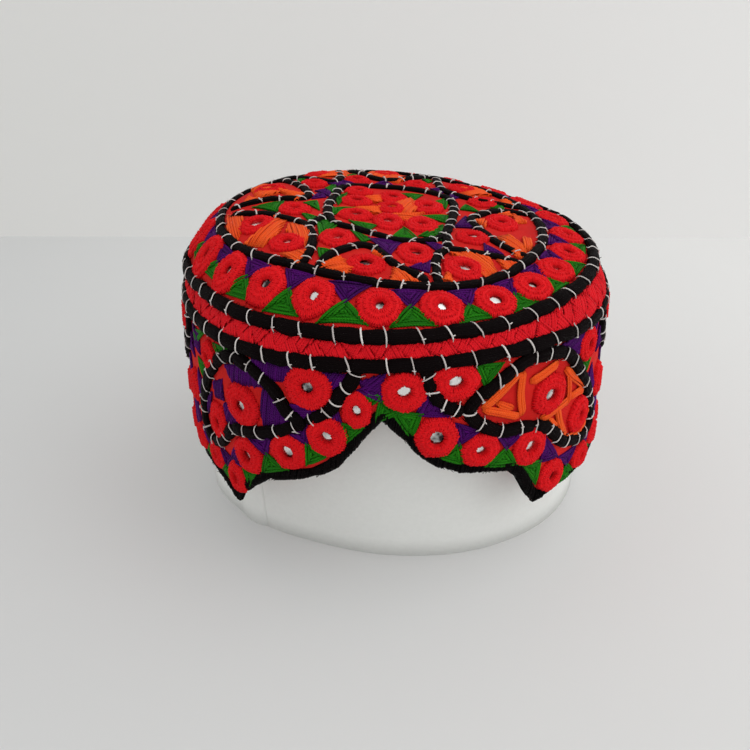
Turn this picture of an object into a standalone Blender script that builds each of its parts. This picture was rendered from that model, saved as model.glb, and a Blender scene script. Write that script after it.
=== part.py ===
"""Embroidered round cap with a pointed arch cut in its front rim, standing on a plain oval paper band.

Metres, +Z up. The origin is on the floor under the middle of the cap, -Y is the side with the arch.
Cloth pieces are shells, couched cords lie on them as flat bands, and the mirror rosettes are low rings.
"""
import math

import bmesh
import bpy
import numpy as np
from mathutils import Vector

MM = 0.001
GAP = 0.4 * MM

# Outline of the cap seen from above, at four heights.
RIM_LEVEL = 31 * MM
MIDDLE_LEVEL = 66 * MM
TOP_LEVEL = 102.8 * MM
CROWN_LEVEL = 111.4 * MM
SHOULDER_LEVEL = 101 * MM
SHOULDER_POWER = 1.6
OUTLINE = (
    # distance from the axis in mm at the rim, the middle, the top and the crown's edge, every 30 degrees from +X
    (88.0, 88.3, 87.6, 84.9),
    (87.0, 87.3, 85.8, 83.4),
    (89.0, 89.5, 88.5, 84.3),
    (91.0, 91.2, 89.8, 86.5),
    (92.5, 92.2, 90.0, 86.5),
    (92.2, 91.2, 88.6, 85.8),
    (89.4, 88.4, 85.2, 84.2),
    (87.8, 88.3, 86.9, 81.8),
    (92.7, 92.3, 91.1, 84.5),
    (93.2, 92.6, 90.8, 87.0),
    (93.3, 93.2, 93.2, 87.0),
    (92.6, 93.4, 94.0, 87.8),
)
MEAN_RADIUS = 90 * MM

CLOTH = 2.5 * MM
WALL_TOP_HEIGHT = 102.1 * MM
BAND_LEVELS = (102.7 * MM, 106.8 * MM, 110.9 * MM)

# The crown swells by a power of the distance from its middle, and leans.
CROWN_RISE = 15.8 * MM
CROWN_POWER = 6
LEAN_POWER = 5
LEAN_X = -0.125
LEAN_Y = 0.035
CROWN_RING_SHARES = (1.0, 0.94, 0.87, 0.78, 0.62, 0.38, 0.12)

# The crown's edge dips at the front and right: drop in mm, every 30 degrees from +X.
EDGE_DROPS = (0, 0, 0, 0, 0, 0, 0, 0, 0.8, 1.5, 3.0, 0.2)
DROP_START = 90 * MM
DROP_FULL = 101 * MM

# Couched cords: width and height of the flat band, and the spacing of its points.
CORD_HALF_WIDTH = 2.3 * MM
CORD_HEIGHT = 2.2 * MM
CORD_SPACING = 9.5 * MM
CORD_SECTION = (
    # share of the half width across, share of the height up
    (-1.0, 0.0),
    (-0.85, 0.6),
    (-0.4, 1.0),
    (0.4, 1.0),
    (0.85, 0.6),
    (1.0, 0.0),
)
WALL_CORD_HEIGHTS = (102.8, 102.8, 102.8, 102.8, 102.8, 102.8, 102.8, 102.4, 102.4, 102.4, 103.4, 99.0)
LEAF_ROOM = 5.2
LOOP_ROOM = 3.6
SEAM_LIFT = 0.3 * MM
INSIDE_SEAM_SHARE = 0.985
ROUND_COLUMNS = 56
WALL_ROWS = 4
SHARP_TURN = 50
MEDALLION_COLUMNS = 42
CURVE_STEPS = 12

# Overcast binding round the rim.
WALL_EDGE_OFFSET = 5.0 * MM
BINDING_SECTION = (
    # distance above the rim line and distance out from the middle of the cloth, in mm
    (0.05, 0.0),
    (1.1, 1.9),
    (3.4, 1.9),
    (4.6, 0.0),
    (3.4, -1.9),
    (1.1, -1.9),
)

# Rosettes: share of the radius and height of each ring, from the mirror to the base.
BORDER_ROSETTE_RADIUS = 7.6 * MM
PETAL_ROSETTE_RADIUS = 6.4 * MM
ROSETTE_SIDES = 10
ROSETTE_LIFT = 0.45 * MM
ROSETTE_RINGS = (
    # share of radius, height in mm
    (0.33, 0.9),
    (0.64, 2.1),
    (0.95, 1.3),
    (1.00, 0.0),
)

# Paper band.
PAPER = 1.2 * MM
PAPER_TOP_SHARE = 0.91
PAPER_TOP_CLEARANCE = 1.0 * MM
PAPER_FLOOR_RADII = (84.5, 84, 80, 78, 82, 86, 87, 74.8, 66.5, 68, 74.5, 81.4)

ARCH_MIDDLE = -92.4
RIM_LINE = (
    # angle in degrees, height of the lower edge in mm
    (-136, 26.8),
    (-133, 33),
    (-128, 40),
    (-122, 47.3),
    (-116, 50.3),
    (-108, 54.3),
    (-103, 59.5),
    (-98, 69),
    (-92.5, 79.5),
    (-88, 72),
    (-84, 63.5),
    (-80, 58.5),
    (-75, 54.8),
    (-70, 52.8),
    (-63, 50.5),
    (-60, 46),
    (-57.3, 37.5),
    (-54.5, 30.2),
    (-48, 31.8),
    (-30, 32),
    (0, 31),
    (60, 32),
    (120, 31),
    (180, 32),
    (207, 32.5),
    (217, 31.5),
    (221, 29.5),
    (224, 26.8),
)
LEFT_TIP = -136
PEAK = -92.5
RIGHT_TIP = -54.5
COLUMNS_LEFT_OF_PEAK = 16
COLUMNS_RIGHT_OF_PEAK = 14
COLUMNS_ELSEWHERE = 44
PARALLEL_STEPS = 41

LEAF_ROUTE = (
    # degrees from the middle of the arch, height in mm
    (20.2, 83.2),
    (24.5, 88),
    (28, 91.6),
    (31.2, 95.2),
    (35.5, 97.5),
    (42, 95.5),
    (47, 90.5),
    (51.3, 82.5),
    (55.8, 72.5),
    (59.5, 62.5),
    (61.5, 54),
    (60.5, 49.5),
    (57, 48.2),
    (52, 49.5),
    (46.5, 53.5),
    (42.8, 60),
    (39, 65),
    (33.5, 67.6),
    (27.5, 69.4),
    (22.8, 73.6),
    (19.6, 78.8),
)
FRONT_LEFT_LEAF_ROUTE = (
    # degrees to the left of the middle of the arch, height in mm
    (18.8, 77),
    (21.5, 80),
    (23.3, 84.2),
    (25, 88.5),
    (27.8, 92.2),
    (31.5, 95.8),
    (36.5, 97),
    (41.5, 94.4),
    (45.8, 89.2),
    (49.5, 82.8),
    (53, 75),
    (56, 66.5),
    (57.8, 58),
    (56.5, 51.5),
    (52.5, 50.2),
    (47.5, 53.5),
    (43.5, 59.5),
    (39.5, 64.8),
    (33, 67.2),
    (27, 70),
    (22, 73.6),
)
LOOP_ROUTE = ((10.4, 99.2), (10.7, 95), (11.4, 90.5), (13, 86), (16, 82.4))
FRONT_LEFT_LOOP_ROUTE = ((5.6, 97.8), (6.6, 95), (8.4, 91.5), (10.2, 86.5), (12.6, 82.2), (15.2, 79.5))
BACK_LOOP_ROUTE = ((-7.5, 99.2), (-6.5, 92), (-3.5, 85.5), (0, 83.5), (3.5, 85.5), (6.5, 92), (7.5, 99.2))
REPEAT = 54.67

MEDALLION_RADII = (65.5, 64.8, 65.8, 68, 70, 69.8, 68.4, 67, 64.3, 67, 68.6, 67)
CENTRE_ROUTE = (
    # x and y in mm
    (-18.5, 27),
    (-21, 15),
    (-23.3, 3),
    (-23, -10),
    (-19.3, -19.5),
    (-11.5, -23.3),
    (-4, -27.5),
    (3.5, -32),
    (11, -31.5),
    (19.5, -27.5),
    (24.8, -19),
    (27.5, -7),
    (29.3, 5),
    (30, 17),
    (25, 27.5),
    (13, 32),
    (-6, 32),
)
SEEN_PETAL_ROUTES = (
    (
        (-63.2, -6.4), (-57, -8.4), (-48, -12), (-38, -17.5), (-31.5, -23), (-28.2, -33),
        (-28, -43), (-30, -52.3),
    ),
    (
        (-24, -55.8), (-21, -49), (-15.5, -44), (-10, -39.8), (-5, -41), (-1.5, -46.5),
        (2.5, -53), (7.5, -58), (12.5, -60.8),
    ),
    (
        (18.2, -60.3), (18.2, -50), (20.3, -41.5), (23.8, -36.8), (29, -36.5), (35.5, -38.2),
        (41.5, -39), (48.2, -41.8),
    ),
    (
        (51.8, -35), (46, -29.5), (41.5, -20.5), (37.5, -12), (36, -4), (39, 3),
        (45, 9), (51, 12.3), (60, 12.6),
    ),
    (
        (-64.5, 1.5), (-55, 4), (-47, 6.5), (-40, 7), (-34.5, 9), (-32.5, 15),
        (-35, 23), (-40, 31), (-46, 39), (-50, 42.5),
    ),
)
HIDDEN_PETALS = (
    # start, middle and end angle in degrees, inner radius in mm
    (20.5, 46, 66, 43.5),
    (71.7, 89, 103.8, 43.5),
    (109.4, 121.6, 134.5, 42),
)
PETAL_END_INSET = 3.9
PETAL_POINTS = 9
PETAL_BLUNTNESS = 2.6

SEEN_BORDER_ANGLES = (200, 216.9, 233.9, 249.7, 267.8, 284, 299.5, 313.3, 326, 339.4, 354.9)
BORDER_ROSETTES_BEHIND = 11
BORDER_OUTWARD = 0.3 * MM
PETAL_ROSETTES = (
    # x and y in mm, one for each petal
    (-37.5, -39),
    (-7.5, -55),
    (29, -50.5),
    (48.8, -2.5),
    (-50, 22),
    (36.5, 41),
    (1.4, 56),
    (-30, 50.2),
)

# Colour, roughness.
PAPER_WHITE = ((0.80, 0.80, 0.79), 0.75)
RED_CLOTH = ((0.55, 0.02, 0.03), 0.9)
BLACK_THREAD = ((0.012, 0.010, 0.010), 0.8)
RED_THREAD = ((0.60, 0.012, 0.018), 0.7)

COLLECTION_NAME = "sindhi_cap"


def clear_scene():
    """Remove every object and mesh left from before."""
    for item in list(bpy.data.objects):
        bpy.data.objects.remove(item, do_unlink=True)
    for mesh in list(bpy.data.meshes):
        bpy.data.meshes.remove(mesh)


def material(name, finish):
    """A Principled material of one colour and roughness."""
    colour, roughness = finish
    made = bpy.data.materials.new(name)
    made.use_nodes = True
    shader = made.node_tree.nodes["Principled BSDF"]
    shader.inputs["Base Color"].default_value = (*colour, 1)
    shader.inputs["Roughness"].default_value = roughness
    return made


def around(values, angle):
    """Smooth closed curve of a value given at equal steps of a full turn."""
    count = len(values)
    place = angle / math.tau * count % count
    index = int(place)
    part = place - index
    before, start, end, after = (values[(index + step) % count] for step in (-1, 0, 1, 2))
    slope_start = (end - before) / 2
    slope_end = (after - start) / 2
    rise = end - start
    return start + part * (slope_start + part * (3 * rise - 2 * slope_start - slope_end
                                                 + part * (slope_start + slope_end - 2 * rise)))


def crown_radius(angle):
    """Distance from the axis to the crown's edge."""
    return around([row[3] for row in OUTLINE], angle) * MM


def wall_radius(angle, height):
    """Distance from the axis to the wall: a parabola through three heights, then the shoulder."""
    levels = (RIM_LEVEL, MIDDLE_LEVEL, TOP_LEVEL)
    reach = 0
    for column, level in enumerate(levels):
        others = [other for other in levels if other != level]
        share = math.prod((height - other) / (level - other) for other in others)
        reach += around([row[column] for row in OUTLINE], angle) * MM * share
    if height > SHOULDER_LEVEL:
        climb = ((height - SHOULDER_LEVEL) / (CROWN_LEVEL - SHOULDER_LEVEL)) ** SHOULDER_POWER
        reach += (crown_radius(angle) - reach) * climb
    return reach


def turned(reach, angle, height):
    """Point at a distance from the cap's axis, in one direction."""
    return Vector((reach * math.cos(angle), reach * math.sin(angle), height))


def edge_drop(angle):
    """How far the crown's edge lies below its level in one direction."""
    return around(EDGE_DROPS, angle) * MM


def wall_point(angle, height):
    """Point on the outer face of the wall and the shoulder above it."""
    climb = min(max((height - DROP_START) / (DROP_FULL - DROP_START), 0), 1)
    return turned(wall_radius(angle, height), angle, height - edge_drop(angle) * climb)


def crown_point(x, y):
    """Point on the crown's upper face over a place given from the cap's axis."""
    angle = math.atan2(y, x)
    share = math.hypot(x, y) / crown_radius(angle)
    lean = (LEAN_X * x + LEAN_Y * y) * (1 - share ** LEAN_POWER)
    height = CROWN_LEVEL + CROWN_RISE * (1 - share ** CROWN_POWER) + lean - edge_drop(angle) * share ** 2
    return Vector((x, y, height))


def frame_on(surface, first, second, step_first, step_second):
    """Point and outward normal where a surface takes two values."""
    along = surface(first + step_first, second) - surface(first - step_first, second)
    across = surface(first, second + step_second) - surface(first, second - step_second)
    return surface(first, second), along.cross(across).normalized()


def wall_frame(angle, height):
    return frame_on(wall_point, angle, height, 0.002, 0.1 * MM)


def crown_frame(x, y):
    return frame_on(crown_point, x, y, 0.1 * MM, 0.1 * MM)


def seam_frame(angle):
    """Point over the seam of the red band and the crown, with a normal halfway between theirs."""
    seam, below = wall_frame(angle, CROWN_LEVEL)
    inside = INSIDE_SEAM_SHARE * crown_radius(angle)
    above = crown_frame(inside * math.cos(angle), inside * math.sin(angle))[1]
    normal = (below + above).normalized()
    return seam + normal * SEAM_LIFT, normal


def smooth_route(points, closed, spacing):
    """Even points along a smooth curve through the given ones."""
    places = [Vector(point) for point in points]
    ends = [places[-1], *places, places[0], places[1]] if closed else [places[0], *places, places[-1]]
    curve = []
    for index in range(1, len(ends) - 2):
        before, start, end, after = ends[index - 1:index + 3]
        for step in range(CURVE_STEPS):
            part = step / CURVE_STEPS
            curve.append(0.5 * (2 * start + (end - before) * part
                                + (2 * before - 5 * start + 4 * end - after) * part ** 2
                                + (3 * start - before - 3 * end + after) * part ** 3))
    curve.append(ends[-2])
    lengths = [0.0]
    for near, far in zip(curve, curve[1:]):
        lengths.append(lengths[-1] + (far - near).length)
    count = max(3, round(lengths[-1] / spacing))
    stations = np.linspace(0, lengths[-1], count + 1)
    if closed:
        stations = stations[:-1]
    return [tuple(np.interp(stations, lengths, [point[axis] for point in curve])[index] for axis in range(2))
            for index in range(len(stations))]


def loft(name, rings, closed, finish, fan_first=None):
    """One closed body through a row of rings that have the same number of points."""
    mesh = bmesh.new()
    loops = [[mesh.verts.new(point) for point in ring] for ring in rings]
    size = len(loops[0])
    following = loops[1:] + loops[:1] if closed else loops[1:]
    for near, far in zip(loops, following):
        for index in range(size):
            onward = (index + 1) % size
            mesh.faces.new((near[index], near[onward], far[onward], far[index]))
    if not closed:
        mesh.faces.new(loops[-1])
        if fan_first is not None:
            hub = mesh.verts.new(fan_first)
            for index in range(size):
                mesh.faces.new((hub, loops[0][index], loops[0][(index + 1) % size]))
        else:
            mesh.faces.new(loops[0])
    bmesh.ops.recalc_face_normals(mesh, faces=mesh.faces)
    data = bpy.data.meshes.new(name)
    mesh.to_mesh(data)
    mesh.free()
    data.shade_smooth()
    data.set_sharp_from_angle(angle=math.radians(SHARP_TURN))
    data.materials.append(finish)
    body = bpy.data.objects.new(name, data)
    bpy.data.collections[COLLECTION_NAME].objects.link(body)
    return body


def cord(name, frames, closed, finish):
    """Flat band with a domed top, lying on a surface along a row of points and normals."""
    count = len(frames)
    rings = []
    for index, (point, normal) in enumerate(frames):
        before = frames[index - 1][0] if closed or index else point
        after = frames[(index + 1) % count][0] if closed or index + 1 < count else point
        side = (after - before).cross(normal).normalized()
        rings.append([point + side * across * CORD_HALF_WIDTH + normal * (GAP + up * CORD_HEIGHT)
                      for across, up in CORD_SECTION])
    return loft(name, rings, closed, finish)


def wall_cord(name, route, turn, mirror, closed, room, finish):
    """Cord on the wall, along a route of degrees and heights, with room in mm kept below the cord at its top."""
    degree_length = MEAN_RADIUS / MM * math.radians(1)
    flat = [(degrees * degree_length, height) for degrees, height in route]
    frames = []
    for along, height in smooth_route(flat, closed, CORD_SPACING / MM):
        angle = math.radians(ARCH_MIDDLE + turn + mirror * (along / degree_length))
        ceiling = around(WALL_CORD_HEIGHTS, angle) - room
        frames.append(wall_frame(angle, min(height, ceiling) * MM))
    return cord(name, frames, closed, finish)


def crown_cord(name, route, closed, finish):
    """Cord on the crown, along a route of plan positions."""
    frames = [crown_frame(x * MM, y * MM) for x, y in smooth_route(route, closed, CORD_SPACING / MM)]
    return cord(name, frames, closed, finish)


def rim_height(degrees, offset=0):
    """Height of the rim's lower edge, or of the line that runs parallel above it."""
    lowest = RIM_LINE[0][0]
    angles, heights = zip(*RIM_LINE)
    if not offset:
        return np.interp((degrees - lowest) % 360 + lowest, angles, heights) * MM
    reach = np.linspace(-1, 1, PARALLEL_STEPS)
    return max(rim_height(degrees + math.degrees(step * offset / MEAN_RADIUS))
               + offset * math.sqrt(1 - step ** 2) for step in reach)


def rim_columns():
    """Directions of the wall's columns, close together round the arch."""
    left = np.linspace(LEFT_TIP, PEAK, COLUMNS_LEFT_OF_PEAK, endpoint=False)
    right = np.linspace(PEAK, RIGHT_TIP, COLUMNS_RIGHT_OF_PEAK, endpoint=False)
    rest = np.linspace(RIGHT_TIP, LEFT_TIP + 360, COLUMNS_ELSEWHERE, endpoint=False)
    return [*left, *right, *rest]


def shell_section(frames):
    """Closed section through the cloth in one direction: up the outer face and down the inner one."""
    outer = [point for point, normal in frames]
    inner = [point - normal * CLOTH for point, normal in reversed(frames)]
    return outer + inner


def make_side_wall(finish):
    """Wall of the cap, cut at the bottom along the rim with its arch."""
    sections = []
    for degrees in rim_columns():
        bottom = rim_height(degrees, WALL_EDGE_OFFSET)
        levels = np.linspace(bottom, WALL_TOP_HEIGHT, WALL_ROWS)
        sections.append(shell_section([wall_frame(math.radians(degrees), level) for level in levels]))
    return loft("side_wall", sections, True, finish)


def make_red_band(finish):
    """Sloping band of plain cloth between the wall and the crown."""
    sections = []
    for angle in np.linspace(0, math.tau, ROUND_COLUMNS, endpoint=False):
        frames = [wall_frame(angle, level) for level in BAND_LEVELS]
        frames[-1] = (frames[-1][0], seam_frame(angle)[1])
        sections.append(shell_section(frames))
    return loft("red_band", sections, True, finish)


def make_crown(finish):
    """Domed crown: rings from the middle of its underside to the edge, and back on top."""
    outer, inner = [], []
    for share in CROWN_RING_SHARES:
        top_ring, under_ring = [], []
        for angle in np.linspace(0, math.tau, ROUND_COLUMNS, endpoint=False):
            reach = crown_radius(angle) * share
            point, normal = crown_frame(reach * math.cos(angle), reach * math.sin(angle))
            if share == 1:
                normal = seam_frame(angle)[1]
            top_ring.append(point)
            under_ring.append(point - normal * CLOTH)
        outer.append(top_ring)
        inner.append(under_ring)
    return loft("crown", inner[::-1] + outer, False, finish)


def make_rim_binding(finish):
    """Thread binding along the rim's lower edge, with a rounded six-sided section."""
    sections = []
    for degrees in rim_columns():
        section = []
        for above, out in BINDING_SECTION:
            point, normal = wall_frame(math.radians(degrees), rim_height(degrees, above * MM))
            section.append(point + normal * (out * MM - CLOTH / 2))
        sections.append(section)
    return loft("rim_binding", sections, True, finish)


def make_paper_stand(finish):
    """Oval paper band, straight from the floor up to the underside of the crown."""
    sections = []
    for angle in np.linspace(0, math.tau, ROUND_COLUMNS, endpoint=False):
        floor_reach = around(PAPER_FLOOR_RADII, angle) * MM
        top_reach = crown_radius(angle) * PAPER_TOP_SHARE
        outer, inner = [], []
        for inset, corners in ((0, outer), (PAPER, inner)):
            reach = top_reach - inset
            over, normal = crown_frame(reach * math.cos(angle), reach * math.sin(angle))
            top_height = over.z - CLOTH / normal.z - PAPER_TOP_CLEARANCE
            corners += [turned(floor_reach - inset, angle, 0), turned(reach, angle, top_height)]
        sections.append(outer + inner[::-1])
    return loft("paper_stand", sections, True, finish)


def make_rings_of_cord(finish):
    """The closed cords: top of the wall, edge of the crown, medallion and centre panel."""
    angles = np.linspace(0, math.tau, ROUND_COLUMNS, endpoint=False)
    wall_top = [wall_frame(angle, around(WALL_CORD_HEIGHTS, angle) * MM) for angle in angles]
    cord("wall_top_cord", wall_top, True, finish)
    cord("crown_edge_cord", [seam_frame(angle) for angle in angles], True, finish)
    frames = []
    for angle in np.linspace(0, math.tau, MEDALLION_COLUMNS, endpoint=False):
        reach = around(MEDALLION_RADII, angle) * MM
        frames.append(crown_frame(reach * math.cos(angle), reach * math.sin(angle)))
    cord("medallion_cord", frames, True, finish)
    crown_cord("centre_cord", CENTRE_ROUTE, True, finish)


def hidden_petal_route(start, middle, end, inner_radius):
    """Route of a petal that follows the rule: out at the ring, in at its middle."""
    route = []
    for degrees in np.linspace(start, end, PETAL_POINTS):
        half = middle - start if degrees < middle else end - middle
        away = abs(degrees - middle) / half
        turn = math.radians(degrees)
        outer_radius = around(MEDALLION_RADII, turn) - PETAL_END_INSET
        reach = inner_radius + (outer_radius - inner_radius) * away ** PETAL_BLUNTNESS
        route.append((reach * math.cos(turn), reach * math.sin(turn)))
    return route


def make_petal_cords(finish):
    """Eight petals inside the medallion, five as seen and three by the rule."""
    routes = list(SEEN_PETAL_ROUTES) + [hidden_petal_route(*row) for row in HIDDEN_PETALS]
    for number, route in enumerate(routes, 1):
        crown_cord(f"petal_cord_{number}", route, False, finish)


def make_wall_cords(finish):
    """Leaf outlines and loops on the wall, mirrored about the arch and repeated behind, apart from the front left ones."""
    for side, mirror in (("right", 1), ("left", -1)):
        for number in range(3):
            leaf, loop = (LEAF_ROUTE, LOOP_ROUTE)
            if side == "left" and number == 0:
                leaf, loop = (FRONT_LEFT_LEAF_ROUTE, FRONT_LEFT_LOOP_ROUTE)
            turn = mirror * REPEAT * number
            wall_cord(f"leaf_cord_{side}_{number + 1}", leaf, turn, mirror, True, LEAF_ROOM, finish)
            wall_cord(f"loop_cord_{side}_{number + 1}", loop, turn, mirror, False, LOOP_ROOM, finish)
    wall_cord("loop_cord_back", BACK_LOOP_ROUTE, 180, 1, False, LOOP_ROOM, finish)


def rosette(name, x, y, radius, finish):
    """Low ring round a small flat mirror, following the crown under it."""
    middle, normal = crown_frame(x * MM, y * MM)
    first = normal.orthogonal().normalized()
    second = normal.cross(first)
    rings = []
    for share, height in reversed(ROSETTE_RINGS):
        ring = []
        for step in range(ROSETTE_SIDES):
            turn = math.tau * step / ROSETTE_SIDES
            flat = middle + radius * share * (first * math.cos(turn) + second * math.sin(turn))
            point, upward = crown_frame(flat.x, flat.y)
            ring.append(point + upward * (ROSETTE_LIFT + height * MM))
        rings.append(ring)
    return loft(name, rings, False, finish, fan_first=middle + normal * ROSETTE_LIFT)


def make_rosettes(finish):
    """Mirror rosettes in the crown's border and one in each petal."""
    last_angle = SEEN_BORDER_ANGLES[-1]
    step = (SEEN_BORDER_ANGLES[0] + 360 - last_angle) / (BORDER_ROSETTES_BEHIND + 1)
    behind = [last_angle + step * (index + 1) for index in range(BORDER_ROSETTES_BEHIND)]
    for number, degrees in enumerate([*SEEN_BORDER_ANGLES, *behind], 1):
        turn = math.radians(degrees)
        reach = (around(MEDALLION_RADII, turn) * MM + crown_radius(turn)) / 2 + BORDER_OUTWARD
        rosette(f"border_rosette_{number:02d}", reach * math.cos(turn) / MM, reach * math.sin(turn) / MM,
                BORDER_ROSETTE_RADIUS, finish)
    for number, (x, y) in enumerate(PETAL_ROSETTES, 1):
        rosette(f"petal_rosette_{number}", x, y, PETAL_ROSETTE_RADIUS, finish)


def main():
    clear_scene()
    bpy.context.scene.collection.children.link(bpy.data.collections.new(COLLECTION_NAME))
    paper = material("paper_white", PAPER_WHITE)
    cloth = material("red_cloth", RED_CLOTH)
    black = material("black_thread", BLACK_THREAD)
    red = material("red_thread", RED_THREAD)
    make_paper_stand(paper)
    make_side_wall(cloth)
    make_red_band(cloth)
    make_crown(cloth)
    make_rim_binding(black)
    make_rings_of_cord(black)
    make_petal_cords(black)
    make_wall_cords(black)
    make_rosettes(red)


main()
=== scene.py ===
"""Looks of an embroidered round cap with mirrors, standing on a plain paper band.

The cloth, its couched cords and every stitch lie on two faces: the wall, measured along it from the middle of
the arch and up, and the crown, measured in plan. Tables and faces are in millimetres, meshes in metres.
"""
import math

import bmesh
import bpy
import numpy as np
from mathutils import Matrix, Vector


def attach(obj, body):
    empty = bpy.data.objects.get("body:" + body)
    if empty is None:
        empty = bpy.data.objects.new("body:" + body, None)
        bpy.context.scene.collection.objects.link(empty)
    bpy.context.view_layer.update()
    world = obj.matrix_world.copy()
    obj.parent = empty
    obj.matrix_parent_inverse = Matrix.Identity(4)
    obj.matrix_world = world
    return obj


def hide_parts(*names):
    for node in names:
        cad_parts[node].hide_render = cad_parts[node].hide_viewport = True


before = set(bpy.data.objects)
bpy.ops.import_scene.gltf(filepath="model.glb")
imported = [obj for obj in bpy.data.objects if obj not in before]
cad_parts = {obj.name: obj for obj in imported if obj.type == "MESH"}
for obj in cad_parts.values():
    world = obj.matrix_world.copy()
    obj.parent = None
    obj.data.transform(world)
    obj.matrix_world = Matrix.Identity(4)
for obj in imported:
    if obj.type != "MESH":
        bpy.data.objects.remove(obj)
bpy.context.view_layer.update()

MM = 0.001
chance = np.random.default_rng(11)

# ---- shape of the cap, as in its source ----
OUTLINE = np.array((
    # distance from the axis at the rim, the middle, the top and the crown's edge, every 30 degrees from +X
    (88.0, 88.3, 87.6, 84.9),
    (87.0, 87.3, 85.8, 83.4),
    (89.0, 89.5, 88.5, 84.3),
    (91.0, 91.2, 89.8, 86.5),
    (92.5, 92.2, 90.0, 86.5),
    (92.2, 91.2, 88.6, 85.8),
    (89.4, 88.4, 85.2, 84.2),
    (87.8, 88.3, 86.9, 81.8),
    (92.7, 92.3, 91.1, 84.5),
    (93.2, 92.6, 90.8, 87.0),
    (93.3, 93.2, 93.2, 87.0),
    (92.6, 93.4, 94.0, 87.8),
))
EDGE_DROPS = (0, 0, 0, 0, 0, 0, 0, 0, 0.8, 1.5, 3.0, 0.2)
DROP_START = 90
DROP_FULL = 101
LEVELS = (31, 66, 102.8)
SHOULDER_LEVEL = 101
SHOULDER_POWER = 1.6
CROWN_LEVEL = 111.4
CROWN_RISE = 15.8
CROWN_POWER = 6
LEAN_POWER = 5
LEAN_X = -0.125
LEAN_Y = 0.035
CLOTH = 2.5
# Length along the wall that stands for one degree.
DEGREE = 90 * math.radians(1)
ARCH_MIDDLE = -92.4
WALL_CORD_HEIGHTS = (102.8, 102.8, 102.8, 102.8, 102.8, 102.8, 102.8, 102.4, 102.4, 102.4, 103.4, 99.0)
LEAF_ROOM = 5.2
LOOP_ROOM = 0.9
MEDALLION_RADII = (65.5, 64.8, 65.8, 68, 70, 69.8, 68.4, 67, 64.3, 67, 68.6, 67)
PAPER_FLOOR_RADII = (84.5, 84, 80, 78, 82, 86, 87, 74.8, 66.5, 68, 74.5, 81.4)
PAPER_TOP_SHARE = 0.91
PAPER_TOP_CLEARANCE = 1.0
PAPER = 1.2

RIM_LINE = (
    # angle in degrees, height of the lower edge
    (-136, 26.8), (-133, 33), (-128, 40), (-122, 47.3), (-116, 50.3), (-108, 54.3), (-103, 59.5),
    (-98, 69), (-92.5, 79.5), (-88, 72), (-84, 63.5), (-80, 58.5), (-75, 54.8), (-70, 52.8),
    (-63, 50.5), (-60, 46), (-57.3, 37.5), (-54.5, 30.2), (-48, 31.8), (-30, 32), (0, 31),
    (60, 32), (120, 31), (180, 32), (207, 32.5), (217, 31.5), (221, 29.5), (224, 26.8),
)
RIM_TIPS = (-136, -92.5, -54.5)
BINDING_HEIGHT = 4.6

LEAF_ROUTE = (
    # degrees from the middle of the arch, height
    (20.2, 83.2), (24.5, 88), (28, 91.6), (31.2, 95.2), (35.5, 97.5), (42, 95.5), (47, 90.5), (51.3, 82.5),
    (55.8, 72.5), (59.5, 62.5), (61.5, 54), (60.5, 49.5), (57, 48.2), (52, 49.5), (46.5, 53.5), (42.8, 60),
    (39, 65), (33.5, 67.6), (27.5, 69.4), (22.8, 73.6), (19.6, 78.8),
)
FRONT_LEFT_LEAF_ROUTE = (
    # degrees to the left of the middle of the arch, height
    (18.8, 77), (21.5, 80), (23.3, 84.2), (25, 88.5), (27.8, 92.2), (31.5, 95.8), (36.5, 97), (41.5, 94.4),
    (45.8, 89.2), (49.5, 82.8), (53, 75), (56, 66.5), (57.8, 58), (56.5, 51.5), (52.5, 50.2), (47.5, 53.5),
    (43.5, 59.5), (39.5, 64.8), (33, 67.2), (27, 70), (22, 73.6),
)
LOOP_ROUTE = ((10.2, 102), (10.7, 95), (11.4, 90.5), (13, 86), (16, 82.4), (18.4, 80.6))
FRONT_LEFT_LOOP_ROUTE = (
    (4.6, 101.4), (6.6, 95), (8.4, 91.5), (10.2, 86.5), (12.6, 82.2), (15.2, 79.5), (17.4, 77.6),
)
BACK_LOOP_ROUTE = ((-7.5, 102), (-6.5, 92), (-3.5, 85.5), (0, 83.5), (3.5, 85.5), (6.5, 92), (7.5, 102))
REPEAT = 54.67

CENTRE_ROUTE = (
    # x and y in plan
    (-18.5, 27), (-21, 15), (-23.3, 3), (-23, -10), (-19.3, -19.5), (-11.5, -23.3), (-4, -27.5), (3.5, -32),
    (11, -31.5), (19.5, -27.5), (24.8, -19), (27.5, -7), (29.3, 5), (30, 17), (25, 27.5), (13, 32), (-6, 32),
)
SEEN_PETAL_ROUTES = (
    ((-63.2, -6.4), (-57, -8.4), (-48, -12), (-38, -17.5), (-31.5, -23), (-28.2, -33), (-28, -43),
     (-30, -52.3)),
    ((-24, -55.8), (-21, -49), (-15.5, -44), (-10, -39.8), (-5, -41), (-1.5, -46.5), (2.5, -53), (7.5, -58),
     (12.5, -60.8)),
    ((18.2, -60.3), (18.2, -50), (20.3, -41.5), (23.8, -36.8), (29, -36.5), (35.5, -38.2), (41.5, -39),
     (48.2, -41.8)),
    ((51.8, -35), (46, -29.5), (41.5, -20.5), (37.5, -12), (36, -4), (39, 3), (45, 9), (51, 12.3),
     (60, 12.6)),
    ((-64.5, 1.5), (-55, 4), (-47, 6.5), (-40, 7), (-34.5, 9), (-32.5, 15), (-35, 23), (-40, 31), (-46, 39),
     (-50, 42.5)),
)
HIDDEN_PETALS = (
    # start, middle and end angle in degrees, inner radius
    (20.5, 46, 66, 43.5),
    (71.7, 89, 103.8, 43.5),
    (109.4, 121.6, 134.5, 42),
)
PETAL_END_INSET = 3.9
OPEN_PETALS = (1, 5)
PETAL_POINTS = 9
PETAL_BLUNTNESS = 2.6

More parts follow.
